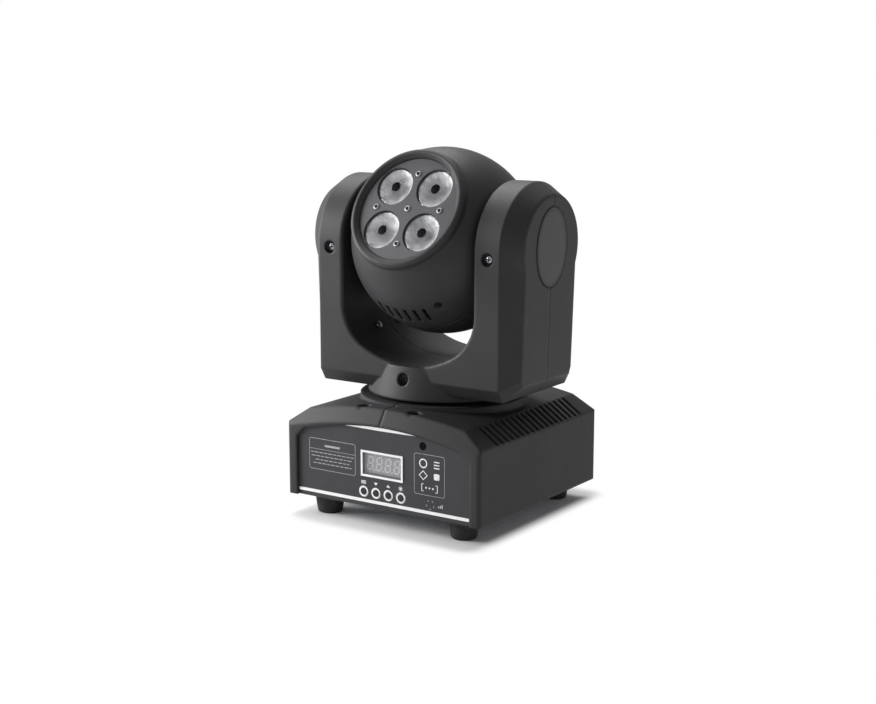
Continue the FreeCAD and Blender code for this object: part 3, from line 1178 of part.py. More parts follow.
def led_boards():
    disc = rod("led_disc", "ledBoardRadius", "ledBoardFace - sinkFace", "0", "-ledBoardFace", "0", "y")
    holes = [rod("led_disc_hole", "screwRadius", "ledBoardFace", x, "-ledBoardFace", z, "y")
             for x, z in plate_screw_places()]
    lamps = []
    for x, z in lens_places():
        lamps.append(block("led_base", "ledBase", "ledBaseHeight", "ledBase", x,
                           "-ledBoardFace - ledBaseHeight / 2",
                           f"{z} - ledBase / 2"))
        lamps.append(rod("led_lamp", "ledRadius", "ledHeight", x, "-ledBoardFace - ledHeight", z, "y"))
    both_faces("led_board", fuse("led_board", cut("led_disc_drilled", disc, *holes), *lamps))


# Heat sink: round base with upright fins that reach back to the fan
def heat_sinks():
    base = rod("sink_base", "sinkRadius", "sinkBase", "0", "-sinkFace", "0", "y")
    fins = []
    for number in range(int(size("finCount"))):
        x = f"(({number}) - (finCount - 1) / 2) * finPitch"
        reach = f"sqrt(finReach * finReach - {x} * {x})"
        fins.append(block("sink_fin", "finThickness", "sinkFace - sinkBase - fanDepth / 2", f"2 * {reach}", x,
                          "-(sinkFace - sinkBase + fanDepth / 2) / 2", f"-{reach}"))
    holes = [rod("sink_hole", "screwRadius", "plateScrewDepth", x, "-sinkFace", z, "y")
             for x, z in plate_screw_places()]
    both_faces("heat_sink", cut("heat_sink", fuse("sink_whole", base, *fins), *holes))


def fan():
    frame = block("fan_block", "fanSize", "fanDepth", "fanSize", "0", "0", "-fanSize / 2")
    opening = rod("fan_opening", "fanOpening", "2 * fanDepth", "0", "-fanDepth", "0", "y")
    holes = [rod("fan_hole", "fanHoleRadius", "2 * fanDepth", x, "-fanDepth", z, "y")
             for x, z in each_corner("fanHolePlace", "fanHolePlace")]
    back = "fanDepth / 2 - strutThickness"
    struts = [block("fan_strut", "fanSize - strutWidth", "strutThickness", "strutWidth", "0",
                    f"{back} + strutThickness / 2", "-strutWidth / 2"),
              block("fan_strut", "strutWidth", "strutThickness", "fanSize - strutWidth", "0",
                    f"{back} + strutThickness / 2", "-(fanSize - strutWidth) / 2")]
    hub = rod("fan_hub", "hubRadius", "strutThickness", "0", back, "0", "y")
    post = rod("fan_post", "fanPost", "fanDepth - 2 * strutThickness - 4 * fanPlay", "0",
               f"-({back}) + 4 * fanPlay", "0", "y")
    seat("fan_frame", fuse("fan_frame", cut("fan_hollow", frame, opening, *holes), *struts, hub, post),
         headFront)


# Fan wheel: pitched blades round a hub that runs on the post of the frame
def fan_rotor():
    half = size("fanDepth / 2 - strutThickness - fanPlay")
    back = Vector(0, 1, 0)
    whole = Part.makeCylinder(size("hubRadius"), 2 * half, Vector(0, -half, 0), back)
    reach = Part.makeCylinder(size("bladeRadius"), 2 * half, Vector(0, -half, 0), back)
    length, width, thickness = size("bladeRadius"), size("bladeWidth"), size("bladeThickness")
    for number in range(int(size("bladeCount"))):
        blade = Part.makeBox(thickness, width, length, Vector(-thickness / 2, -width / 2, 0))
        blade.rotate(Vector(), Vector(0, 0, 1), size("bladeAngle"))
        blade.rotate(Vector(), back, 360 / size("bladeCount") * number)
        whole = whole.fuse(blade.common(reach))
    bore = Part.makeCylinder(size("fanPost + runFit"), 2 * half, Vector(0, -half + size("2 * fanPlay"), 0),
                             back)
    seat("fan_rotor", solids("fan_rotor", [whole.cut(bore).removeSplitter()]), headFront)


# Brackets that tie both heat sinks together and carry the stub axles
def tilt_axles():
    for name, side, end in (("tilt_axle_left", -1, "leftAxleEnd"), ("tilt_axle_right", 1, "rightAxleEnd")):
        wall = "ballSide - shellWall"
        depth = "2 * (sinkFace - sinkBase)"
        plate = block(name + "_plate", "bracketThickness", depth, "2 * bracketHalf",
                      f"{side} * ({wall} - bracketThickness / 2)", "0", "-bracketHalf")
        tabs = [block(name + "_tab", f"{wall} - bracketTabStart", "bracketThickness", "2 * bracketTab",
                      f"{side} * ({wall} + bracketTabStart) / 2",
                      f"{turn} * (sinkFace - sinkBase - bracketThickness / 2)",
                      "-bracketTab") for turn in (-1, 1)]
        start = f"{wall} - bracketThickness" if side > 0 else f"-{end}"
        length = f"{end} - ({wall} - bracketThickness)"
        stub = rod(name + "_stub", "axleRadius", length, start, along="x")
        bore = rod(name + "_bore", "axleBore", length, start, along="x")
        seat(name, cut(name, fuse(name + "_whole", plate, *tabs, stub), bore), headFront)


def head_screws():
    shapes = []
    for turn in (headFront, headRear):
        spots = [(Vector(size(x), -size("plateFace + plateScrewRise"), size(z)), Vector(0, 1, 0),
                  size("plateScrewHead"), size("plateScrewRise"),
                  size("plateFace - sinkFace + plateScrewDepth"))
                 for x, z in plate_screw_places()]
        floor = size("shellScrewFloor")
        head = size("plateScrewRise")
        spots.append((Vector(size("shellScrewX"), -size("shellScrewFront"), -floor - head), Vector(0, 0, 1),
                      size("plateScrewHead"), head, size("shellScrewFloor - shellScrewEnd")))
        for place, direction, radius, height, length in spots:
            whole = screw("head_screw", place, direction, radius, height, length)
            whole.Placement = turn.multiply(whole.Placement)
            shapes.append(whole)
    keep("head_screws", solids("head_screws", shapes))


base_shells()
front_panel()
panel_trim()
display()
buttons()
remote_and_sound()
rear_panel()
mains_inlet()
fuse_holder()
data_sockets()
base_tray()
rubber_feet()
base_screws()
deck()
pan_drive()
boards()
yoke_shells()
badges()
yoke_frame()
pan_shaft()
tilt_drive()
driver_board()
yoke_screws()
head_shells()
face_plates()
lenses()
led_boards()
heat_sinks()
fan()
fan_rotor()
tilt_axles()
head_screws()


# Every object has to be sound before a file is written
def write_pieces():
    doc.recompute()
    faulty = [item.Label for item in doc.Objects if {"Invalid", "Error"} & set(item.State)]
    hollow = [name for name, item in pieces.items() if item.Shape.isNull() or not item.Shape.isValid()]
    assert not faulty and not hollow, (faulty, hollow)
    os.makedirs("parts", exist_ok=True)
    for name, item in pieces.items():
        item.Shape.exportStep(f"parts/{name}.step")
        box = item.Shape.BoundBox
        print(name, len(item.Shape.Solids), round(item.Shape.Volume),
              [round(edge, 1) for edge in (box.XMin, box.XMax, box.YMin, box.YMax, box.ZMin, box.ZMax)])


write_pieces()
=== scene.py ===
# Looks of a double-sided moving head light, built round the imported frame; lengths are metres unless named in mm
import math
import bpy
import numpy as np
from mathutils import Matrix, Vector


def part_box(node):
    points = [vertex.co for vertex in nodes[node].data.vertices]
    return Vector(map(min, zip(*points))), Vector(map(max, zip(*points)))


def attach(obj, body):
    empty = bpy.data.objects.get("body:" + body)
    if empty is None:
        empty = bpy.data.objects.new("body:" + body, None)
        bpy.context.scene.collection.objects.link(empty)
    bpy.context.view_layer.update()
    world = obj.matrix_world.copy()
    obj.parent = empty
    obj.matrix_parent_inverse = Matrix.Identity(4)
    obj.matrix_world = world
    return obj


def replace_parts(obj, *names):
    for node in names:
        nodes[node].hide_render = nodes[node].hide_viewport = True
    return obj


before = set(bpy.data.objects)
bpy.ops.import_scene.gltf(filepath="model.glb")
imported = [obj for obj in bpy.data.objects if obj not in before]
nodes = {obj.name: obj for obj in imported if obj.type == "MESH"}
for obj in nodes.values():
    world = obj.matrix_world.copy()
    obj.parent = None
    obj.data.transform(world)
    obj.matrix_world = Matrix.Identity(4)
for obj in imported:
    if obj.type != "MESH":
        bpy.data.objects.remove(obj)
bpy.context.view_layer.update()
mm = 0.001
print("frame loaded with", len(nodes), "nodes")


# sRGB to linear: c / 12.92 up to 0.04045, and ((c + 0.055) / 1.055) ^ 2.4 above it
def linear(hexText):
    srgb = np.array([int(hexText[i:i + 2], 16) for i in (1, 3, 5)]) / 255
    return (*np.where(srgb <= 0.04045, srgb / 12.92, ((srgb + 0.055) / 1.055) ** 2.4), 1)


# Adds a node; an input is a number, a colour, or the output socket that feeds it
def add(tree, kind, inputs=None, **settings):
    node = tree.nodes.new("ShaderNode" + kind)
    for key, value in settings.items():
        setattr(node, key, value)
    for socket, value in (inputs or {}).items():
        if isinstance(value, bpy.types.NodeSocket):
            tree.links.new(value, node.inputs[socket])
        else:
            node.inputs[socket].default_value = value
    return node


# Empty material: its tree, its surface shader and the output
def blank(name):
    material = bpy.data.materials.new(name)
    material.use_nodes = True
    tree = material.node_tree
    tree.nodes.clear()
    shader = add(tree, "BsdfPrincipled")
    add(tree, "OutputMaterial", {"Surface": shader.outputs[0]})
    return material, tree, shader


# Noise of a real grain size: the texture has one cell in each grain, so its scale is 1 / size
def grain(tree, sizeMm, detail=2.0, stretch=(1, 1, 1)):
    place = add(tree, "TexCoord").outputs["Object"]
    mapping = add(tree, "Mapping", {"Vector": place, "Scale": stretch})
    return add(tree, "TexNoise", {"Vector": mapping.outputs[0], "Scale": 1 / (sizeMm * mm), "Detail": detail})


# Fits a value into a range; a noise keeps mostly between 0.3 and 0.7
def span(tree, value, low, high, fromLow=0.3, fromHigh=0.7):
    return add(tree, "MapRange", {"Value": value, "From Min": fromLow, "From Max": fromHigh, "To Min": low,
                                  "To Max": high}).outputs[0]


pivot = {"heightMm": 202, "restDegrees": 30}


# The head's own axes: its face looks out along the first, and its top lies along the second
def headAxes(side):
    turn = math.radians(pivot["restDegrees"])
    outward, upward = [0, -math.cos(turn), math.sin(turn)], [0, math.sin(turn), math.cos(turn)]
    return side * np.array(outward), side * np.array(upward)


# Share from 0 at one distance out of the head's pivot to 1 at another, along the way that its faces look
def headDepth(tree, lowMm, highMm):
    place = add(tree, "TexCoord").outputs["Object"]
    centre = (0, 0, pivot["heightMm"] * mm)
    place = add(tree, "VectorMath", {0: place, 1: centre}, operation="SUBTRACT").outputs[0]
    outward = tuple(headAxes(1)[0])
    out = add(tree, "VectorMath", {0: place, 1: outward}, operation="DOT_PRODUCT").outputs["Value"]
    out = add(tree, "Math", {0: out}, operation="ABSOLUTE").outputs[0]
    return span(tree, out, 0, 1, lowMm * mm, highMm * mm)


# What every finish has unless it says otherwise, and the shader's own sockets that take it
usual = {"stretch": (1, 1, 1), "fineDetail": 3.0, "edgeSpan": (0.7, 0.98), "rays": 4, "metal": 0.0, "coat": 0.0,
         "coatRough": 0.2, "ior": 1.5, "specular": 0.5}
sockets = {"metal": "Metallic", "coat": "Coat Weight", "coatRough": "Coat Roughness", "ior": "IOR",
           "specular": "Specular IOR Level"}


# One opaque finish: two close tones in soft patches, a grain that moves gloss and relief, and eased edges that
# wear to a tone of their own; a foot tone is painted shade, which the others fade into towards the head's pivot
def finish(name, look):
    look = {**usual, **look}
    material, tree, shader = blank(name)
    patches = grain(tree, look["patchMm"])
    fine = grain(tree, look["grainMm"], look["fineDetail"], look["stretch"])
    tone = add(tree, "Mix", {0: span(tree, patches.outputs[0], 0, 1), 6: linear(look["colour"]),
                             7: linear(look["patch"])}, data_type="RGBA").outputs[2]
    # Painted shade: the foot tone darkens the finish towards the head's pivot, deep in the lamp cups
    if "foot" in look:
        tone = add(tree, "Mix", {0: headDepth(tree, *look["footSpanMm"]), 6: linear(look["foot"]), 7: tone},
                   data_type="RGBA").outputs[2]
    rounded = add(tree, "Bevel", {"Radius": look["edgeMm"] * mm}, samples=look["rays"])
    relief = add(tree, "Bump", {"Height": fine.outputs[0], "Distance": look["reliefMm"] * mm, "Strength": 1.0,
                                "Normal": rounded.outputs[0]})
    facing = add(tree, "NewGeometry").outputs["Normal"]
    same = add(tree, "VectorMath", {0: rounded.outputs[0], 1: facing}, operation="DOT_PRODUCT")
    edge = span(tree, same.outputs["Value"], look["rub"], 0.0, *look["edgeSpan"])
    rubbed = add(tree, "Mix", {0: edge, 6: tone, 7: linear(look["edge"])}, data_type="RGBA")
    tree.links.new(rubbed.outputs[2], shader.inputs["Base Color"])
    tree.links.new(span(tree, fine.outputs[0], *look["rough"]), shader.inputs["Roughness"])
    tree.links.new(relief.outputs[0], shader.inputs["Normal"])
    for key, socket in sockets.items():
        shader.inputs[socket].default_value = look[key]
    return material


# patchMm is the width of the soft patches of tone, grainMm that of the grain. Real grains, under 0.3 mm, are
# too fine to show in the render, so they are drawn as coarse as they need to show
finishes = {
    # Injection-moulded ABS with a spark-eroded grain: deep black that scatters lights into wide soft patches
    "erodedBlackAbs": {"colour": "#2e2e30", "patch": "#343436", "patchMm": 45, "grainMm": 0.9, "reliefMm": 0.03,
                       "rough": (0.44, 0.58), "edge": "#434346", "edgeMm": 2.1, "rub": 0.4, "specular": 0.3,
                       "rays": 6},
    # The same ABS with a coarser grain on the cover, whose arched edges are blended by hand: no crisp crease
    "blendedCoverAbs": {"colour": "#303032", "patch": "#363638", "patchMm": 45, "grainMm": 1.1,
                        "reliefMm": 0.035, "rough": (0.5, 0.64), "edge": "#303032", "edgeMm": 3.4, "rub": 0.2,
                        "specular": 0.26, "rays": 8},
    # Powder-coated sheet of the panels: finer and a little greyer than the cover
    "powderCoatedPanel": {"colour": "#38383b", "patch": "#3c3c3f", "patchMm": 30, "grainMm": 0.7,
                          "reliefMm": 0.02, "rough": (0.42, 0.55), "edge": "#4b4b4f", "edgeMm": 0.3,
                          "rub": 0.4, "specular": 0.3},
    # Stove-enamelled aluminium plate: mid grey, a faint orange peel
    "enamelledPlate": {"colour": "#48484b", "patch": "#4e4e51", "patchMm": 18, "grainMm": 1.4,
                       "reliefMm": 0.02, "rough": (0.36, 0.5), "edge": "#6a6a6c", "edgeMm": 0.35, "rub": 0.6},
    # Hot-stamped silver foil: a bright, slightly uneven metal skin
    "silverFoil": {"colour": "#fbfbfb", "patch": "#f2f2f3", "patchMm": 9, "grainMm": 0.8, "reliefMm": 0.006,
                   "rough": (0.3, 0.42), "edge": "#ffffff", "edgeMm": 0.1, "rub": 0.3, "metal": 0.45},
    # Screen-printed ink: matt pale grey, slightly open at the mesh
    "screenInk": {"colour": "#fafafa", "patch": "#e6e6e8", "patchMm": 2, "grainMm": 0.4, "reliefMm": 0.004,
                  "rough": (0.45, 0.6), "edge": "#ffffff", "edgeMm": 0.02, "rub": 0.2},
    # The same ink printed thin for the ruled frames, so that the panel greys it
    "thinInk": {"colour": "#b2b2b5", "patch": "#9e9ea1", "patchMm": 2, "grainMm": 0.4, "reliefMm": 0.003,
                "rough": (0.5, 0.64), "edge": "#b6b6b8", "edgeMm": 0.02, "rub": 0.2, "specular": 0.3},
    # Zinc-plated steel: cool grey with the small spangle of the plating
    "zincPlatedSteel": {"colour": "#b4b6ba", "patch": "#9b9da2", "patchMm": 3, "grainMm": 0.5,
                        "reliefMm": 0.006, "rough": (0.22, 0.42), "edge": "#d8d8da", "edgeMm": 0.2, "rub": 0.5,
                        "metal": 1.0},
    # Zinc that has dulled, on the small socket screws of the lamp faces
    "dullZinc": {"colour": "#b8babe", "patch": "#a6a8ac", "patchMm": 2, "grainMm": 0.4, "reliefMm": 0.006,
                 "rough": (0.4, 0.55), "edge": "#dcdcde", "edgeMm": 0.15, "rub": 0.5, "metal": 0.5},
    # Extruded aluminium, saw-cut and plain: pale metal with fine lines across the fins
    "extrudedAluminium": {"colour": "#b9babc", "patch": "#a5a6a9", "patchMm": 12, "grainMm": 0.8,
                          "stretch": (1, 0.1, 1), "reliefMm": 0.01, "rough": (0.3, 0.45), "edge": "#e0e0e0",
                          "edgeMm": 0.2, "rub": 0.4, "metal": 1.0},
    # Gold-flashed brass of the contacts: warm, bright and smooth
    "goldFlash": {"colour": "#caa75a", "patch": "#b8944a", "patchMm": 2, "grainMm": 0.5, "reliefMm": 0.004,
                  "rough": (0.2, 0.32), "edge": "#e2c88a", "edgeMm": 0.2, "rub": 0.4, "metal": 1.0},
    # Vapour-silvered cup behind the clear disc: pale at the rim, flute-streaked, with painted shade at its foot
    "silveredCup": {"colour": "#fcfcfe", "patch": "#98989c", "patchMm": 6.5, "grainMm": 2.4, "reliefMm": 0.25,
                    "rough": (0.45, 0.62), "edge": "#f4f4f4", "edgeMm": 0.3, "rub": 0.3, "metal": 0.25,
                    "foot": "#4c4c50", "footSpanMm": (47.0, 51.4)},
    # Black oxide on the screws of the cover and turret: dull, near black. The same near black is painted shade
    # in the crosses and sockets of the other screws, and round the side badges
    "blackOxideAndPaintedShade": {"colour": "#0d0d0e", "patch": "#131314", "patchMm": 2, "grainMm": 0.4, "reliefMm": 0.006,
                   "rough": (0.4, 0.6), "edge": "#1c1c1e", "edgeMm": 0.1, "rub": 0.3, "specular": 0.2},
    # Infrared filter of the remote eye, dyed so dark that it reads as a hole; on the lamps' cores it is painted
    # shade
    "irFilterAndPaintedCoreShade": {"colour": "#060607", "patch": "#08080a", "patchMm": 3, "grainMm": 0.5, "reliefMm": 0.002,
                 "rough": (0.3, 0.42), "edge": "#0a0a0c", "edgeMm": 0.1, "rub": 0.2, "ior": 1.35,
                 "specular": 0.1},
    # Moulded nitrile rubber: dull, nearly black, greyed where it is handled
    "mouldedRubber": {"colour": "#202020", "patch": "#292929", "patchMm": 8, "grainMm": 0.8, "reliefMm": 0.03,
                      "rough": (0.7, 0.88), "edge": "#383838", "edgeMm": 0.8, "rub": 0.6},
    # Polished nylon of sockets and keys: dark, with tight highlights
    "polishedNylon": {"colour": "#161618", "patch": "#1c1c1e", "patchMm": 10, "grainMm": 0.8,
                      "reliefMm": 0.006, "rough": (0.2, 0.32), "edge": "#343436", "edgeMm": 0.35, "rub": 0.4},
    # Solder-masked glass epoxy: green with slightly uneven lacquer
    "solderMaskedBoard": {"colour": "#123d24", "patch": "#174a2c", "patchMm": 6, "grainMm": 0.9,
                          "reliefMm": 0.02, "rough": (0.25, 0.4), "edge": "#c8b27a", "edgeMm": 0.15,
                          "rub": 0.8},
    # White solder mask on an aluminium core, as under lamps: pale, even and half matt
    "whiteLampBoard": {"colour": "#d6d6d0", "patch": "#c8c8c2", "patchMm": 7, "grainMm": 0.9,
                       "reliefMm": 0.01, "rough": (0.35, 0.5), "edge": "#eeeeee", "edgeMm": 0.15, "rub": 0.3},
    # Stoved black paint of the motor cans: smooth, rubbed to grey metal at the edges
    "blackLacqueredSteel": {"colour": "#1d1d1e", "patch": "#252526", "patchMm": 14, "grainMm": 0.9,
                            "reliefMm": 0.01, "rough": (0.3, 0.42), "edge": "#77777a", "edgeMm": 0.3,
                            "rub": 0.7},
    # Grey epoxy that fills the digit block: cast flat, even and half matt
    "greyEpoxy": {"colour": "#a8a8ac", "patch": "#aeaeb2", "patchMm": 8, "grainMm": 0.9, "reliefMm": 0.002,
                  "rough": (0.4, 0.5), "edge": "#a4a4a8", "edgeMm": 0.2, "rub": 0.2},
    # Milky resin of the unlit digit bars: nearly white, with a soft gloss
    "milkyResin": {"colour": "#fcfcfd", "patch": "#f4f4f6", "patchMm": 3, "grainMm": 0.9, "reliefMm": 0.002,
                   "rough": (0.3, 0.4), "edge": "#f6f6f8", "edgeMm": 0.05, "rub": 0.2},
    # Lacquered black ABS of the bare side disc: smoother than the arm, with a soft sheen
    "lacqueredAbs": {"colour": "#1c1c1e", "patch": "#222225", "patchMm": 20, "grainMm": 1.1,
                     "reliefMm": 0.001, "rough": (0.28, 0.32), "edge": "#161618", "edgeMm": 0.8, "rub": 0.6,
                     "coat": 0.1, "specular": 0.3},
}
made = {name: finish(name, look) for name, look in finishes.items()}


acrylics = {
    # Smoked acrylic of the display window: a film that hides part of what is behind it
    "smokedAcrylic": {"colour": "#b8b8bc", "rough": (0.3, 0.36), "hazeMm": 4, "ior": 1.49, "clear": 0.0,
                      "alpha": 0.24},
    # Clear cast acrylic of the lamp discs: nearly all light passes, and a thin gloss stays
    "clearAcrylic": {"colour": "#fafbfc", "rough": (0.03, 0.09), "hazeMm": 4, "ior": 1.49, "clear": 1.0,
                     "alpha": 0.3},
}


# Acrylic: one colour that lets light through, with a faint unevenness in its gloss
def acrylic(name, look):
    material, tree, shader = blank(name)
    haze = grain(tree, look["hazeMm"])
    tree.links.new(span(tree, haze.outputs[0], *look["rough"]), shader.inputs["Roughness"])
    shader.inputs["Base Color"].default_value = linear(look["colour"])
    shader.inputs["IOR"].default_value = look["ior"]
    shader.inputs["Transmission Weight"].default_value = look["clear"]
    shader.inputs["Alpha"].default_value = look["alpha"]
    return material


made.update({name: acrylic(name, look) for name, look in acrylics.items()})

wearers = {
    "erodedBlackAbs": ["yoke_front_shell", "yoke_rear_shell", "head_front_shell", "head_rear_shell"],
    "blendedCoverAbs": ["base_shell_left", "base_shell_right"],
    "powderCoatedPanel": ["front_panel", "rear_panel"],
    "enamelledPlate": ["face_plate_front", "face_plate_rear"],
    "silverFoil": ["panel_trim", "display_bezel"],
    "zincPlatedSteel": ["base_tray", "pan_deck", "deck_pillars", "base_screws", "yoke_screws", "head_screws",
                        "pan_bearing", "yoke_frame", "tilt_bearings", "tilt_axle_left", "tilt_axle_right"],
    "extrudedAluminium": ["pan_pulley", "tilt_pulley", "pan_pinion", "tilt_pinion", "pan_shaft",
                          "heat_sink_front", "heat_sink_rear"],
    "mouldedRubber": ["rubber_feet", "pan_belt", "tilt_belt"],
    "irFilterAndPaintedCoreShade": ["remote_receiver"],
    "polishedNylon": ["button_1", "button_2", "button_3", "button_4", "button_switches", "microphone",
                      "mains_inlet", "fuse_holder", "data_in_socket", "data_out_socket", "fan_frame",
                      "fan_rotor"],
    "solderMaskedBoard": ["control_board", "supply_board", "main_board", "driver_board"],
    "whiteLampBoard": ["led_board_front", "led_board_rear"],
    "blackLacqueredSteel": ["pan_motor", "tilt_motor"],
    "greyEpoxy": ["display_module"],
    "lacqueredAbs": ["badge_left", "badge_right"],
    "smokedAcrylic": ["display_window"],
    "clearAcrylic": ["lenses_front", "lenses_rear"],
}


def wear(thing, material):
    thing.data.materials.clear()
    thing.data.materials.append(made[material])


for material, names in wearers.items():
    for name in names:
        wear(nodes[name], material)
print("finishes on", sum(len(names) for names in wearers.values()), "frame nodes")


# Grid faces between rings: face i joins ring i to ring i + 1, and the columns close on themselves
def ringFaces(rings, columns, first=0):
    row, column = np.meshgrid(np.arange(rings - 1), np.arange(columns), indexing="ij")
    beside = (column + 1) % columns
    corners = [row * columns + column, row * columns + beside, (row + 1) * columns + beside,
               (row + 1) * columns + column]
    return np.stack(corners, axis=-1).reshape(-1, 4) + first


# Turned form: x = r cos a, y = r sin a, z = h + lift(r, a) for each point (r, h) of a profile that starts
# at the bottom of the axis and ends at its top
def lathe(profile, columns, lift=None):
    profile = np.array(profile, float) * mm
    angle = np.arange(columns) * 2 * math.pi / columns
    radius, turn = np.meshgrid(profile[1:-1, 0], angle, indexing="ij")
    height = np.repeat(profile[1:-1, 1:2], columns, axis=1)
    if lift is not None:
        height = height + lift(radius / mm, turn) * mm
    body = np.stack([radius * np.cos(turn), radius * np.sin(turn), height], axis=-1).reshape(-1, 3)
    sink = 0 if lift is None else float(lift(np.zeros(1), np.zeros(1))[0]) * mm
    points = np.vstack([[0, 0, profile[0, 1]], body, [0, 0, profile[-1, 1] + sink]])
    last, rings = len(points) - 1, len(profile) - 2
    column = np.arange(columns)
    beside = (column + 1) % columns
    low = [(0, b + 1, a + 1) for a, b in zip(column, beside)]
    base = last - columns
    high = [(base + a, base + b, last) for a, b in zip(column, beside)]
    return points, low + ringFaces(rings, columns, 1).tolist() + high


# Arc of a profile: centre + r (cos a, sin a) from one angle to another, in degrees
def arc(centre, radius, start, end, steps):
    angle = np.radians(np.linspace(start, end, steps))
    return np.stack([centre[0] + radius * np.cos(angle), centre[1] + radius * np.sin(angle)], axis=-1).tolist()


# Flat plate of an outline (x, z), standing between two depths y; closed on every side
def plate(outline, back, front):
    outline = np.array(outline, float)
    if np.sum(outline[:, 0] * np.roll(outline[:, 1], -1) - np.roll(outline[:, 0], -1) * outline[:, 1]) < 0:
        outline = outline[::-1]
    count = len(outline)
    ring = np.arange(count)
    points = [np.stack([outline[:, 0], np.full(count, y), outline[:, 1]], axis=-1) for y in (front, back)]
    sides = np.stack([ring, ring + count, (ring + 1) % count + count, (ring + 1) % count], axis=-1)
    return np.vstack(points) * mm, [tuple(ring), tuple(ring[::-1] + count)] + sides.tolist()


# Strip of a width along a path (x, z), between two depths; a closed path gives a closed band
def strip(path, width, back, front, closed=True):
    path = np.array(path, float)
    ahead, behind = np.roll(path, -1, axis=0), np.roll(path, 1, axis=0)
    if not closed:
        ahead[-1], behind[0] = path[-1], path[0]
    along = ahead - behind
    along /= np.linalg.norm(along, axis=1, keepdims=True)
    across = np.stack([along[:, 1], -along[:, 0]], axis=-1) * width / 2
    section = [(path - across, front), (path + across, front), (path + across, back), (path - across, back)]
    points = np.stack([np.stack([flat[:, 0], np.full(len(path), y), flat[:, 1]], axis=-1)
                       for flat, y in section], axis=1).reshape(-1, 3) * mm
    rows = len(path)
    faces = ringFaces(rows, 4).tolist()
    last = 4 * (rows - 1)
    if closed:
        faces += [(last + k, last + (k + 1) % 4, (k + 1) % 4, k) for k in range(4)]
    else:
        faces += [(3, 2, 1, 0), (last, last + 1, last + 2, last + 3)]
    return points, faces


# Rounded rectangle: quarter circles at the corners, joined by the sides between them
def roundedBox(left, right, low, high, radius, steps=6):
    corners = [(right - radius, high - radius, 0), (left + radius, high - radius, 90),
               (left + radius, low + radius, 180), (right - radius, low + radius, 270)]
    return [point for x, z, start in corners for point in arc((x, z), radius, start, start + 90, steps)]


# Moves and turns a form: its own axes become the columns of the turn
def stood(form, place, axisX, axisZ):
    points, faces = form
    axisX, axisZ = np.array(axisX, float), np.array(axisZ, float)
    axisZ = axisZ / np.linalg.norm(axisZ)
    axisX = axisX - axisZ * axisX.dot(axisZ)
    axisX = axisX / np.linalg.norm(axisX)
    turn = np.stack([axisX, np.cross(axisZ, axisX), axisZ])
    return np.asarray(points) @ turn + np.array(place, float) * mm, faces


# Object of a mesh, light or camera, linked into the scene
def linked(name, data):
    thing = bpy.data.objects.new(name, data)
    bpy.context.scene.collection.objects.link(thing)
    return thing


# One object from several forms; wearing gives each form the number of its finish, and else all take the first
def piece(name, forms, body, finishNames, wearing=None, sharp=35):
    points, faces, finishOf, first = [], [], [], 0
    for number, (formPoints, formFaces) in enumerate(forms):
        points.append(formPoints)
        faces += [[corner + first for corner in face] for face in formFaces]
        finishOf += [wearing[number] if wearing else 0] * len(formFaces)
        first += len(formPoints)
    mesh = bpy.data.meshes.new(name)
    mesh.from_pydata(np.vstack(points).tolist(), [], faces)
    for finishName in finishNames:
        mesh.materials.append(made[finishName])
    mesh.polygons.foreach_set("material_index", finishOf)
    mesh.polygons.foreach_set("use_smooth", [True] * len(mesh.polygons))
    mesh.set_sharp_from_angle(angle=math.radians(sharp))
    mesh.update()
    thing = linked(name, mesh)
    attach(thing, body)
    return thing


# Place in the head from its distances across, outward and up; side is 1 at the front and -1 at the rear
def headPlace(side, across, out, up):
    outward, upward = headAxes(side)
    return np.array([across, 0, pivot["heightMm"]]) + outward * out + upward * up


signs = [(a, b) for a in (-1, 1) for b in (-1, 1)]

# Lamps, in mm: their places, the clear disc, the cup behind it and the core of painted shade in the disc's well
lamp = {"pitch": 34.4, "radius": 14.6, "front": 53.5}
discSizes = {"depth": 1.6, "rise": 0.7, "rim": 0.5, "skirtTop": 1.0, "footRound": (0.2, 0.15), "foot": 1,
             "wellRadius": 3.9, "wellDepth": 1.1, "wellEdge": (0.15, 0.2), "ripple": 0.035, "ripples": 30,
             "twist": 1.3, "plainRim": 0.4, "plainWell": 0.1, "rings": 12, "columns": 96}
cupSizes = {"inset": 0.7, "gap": 0.05, "depth": 6.0, "floor": 0.2, "foot": 3.9, "wall": 3, "rim": 0.3,
            "flutes": 22, "fluteRise": 0.3, "plainRim": 0.05, "plainFoot": 0.1, "rings": 16, "columns": 88}
coreSizes = {"radius": 3.8, "rise": 0.3, "gap": 0.02, "edge": 0.1, "middle": 0.5, "rings": 8, "columns": 40}


# Clear disc: a low dome z = -rise (r / R)^2 with a rounded rim, fine radial ripples and a round well
def lensDisc():
    radius, depth = lamp["radius"], discSizes["depth"]
    well, floor = discSizes["wellRadius"], discSizes["wellDepth"]
    inward, upward = discSizes["footRound"]
    beside, under = discSizes["wellEdge"]
    dome = [(r, -discSizes["rise"] * (r / radius) ** 2)
            for r in np.linspace(radius - discSizes["rim"], well + beside, discSizes["rings"])]
    profile = [(0, -depth), (discSizes["foot"], -depth), (radius - inward, -depth), (radius, -depth + upward),
               (radius, -discSizes["skirtTop"])]
    profile += dome + [(well, -under), (well, -floor), (0, -floor)]

    def ripples(r, a):
        rippled = (r < radius - discSizes["plainRim"]) & (r > well + discSizes["plainWell"])
        top = np.where(rippled, 1.0, 0.0) * np.sin(math.pi * r / radius) ** 2
        return discSizes["ripple"] * np.cos(discSizes["ripples"] * a + discSizes["twist"] * r) * top
    return lathe(profile, discSizes["columns"], ripples)


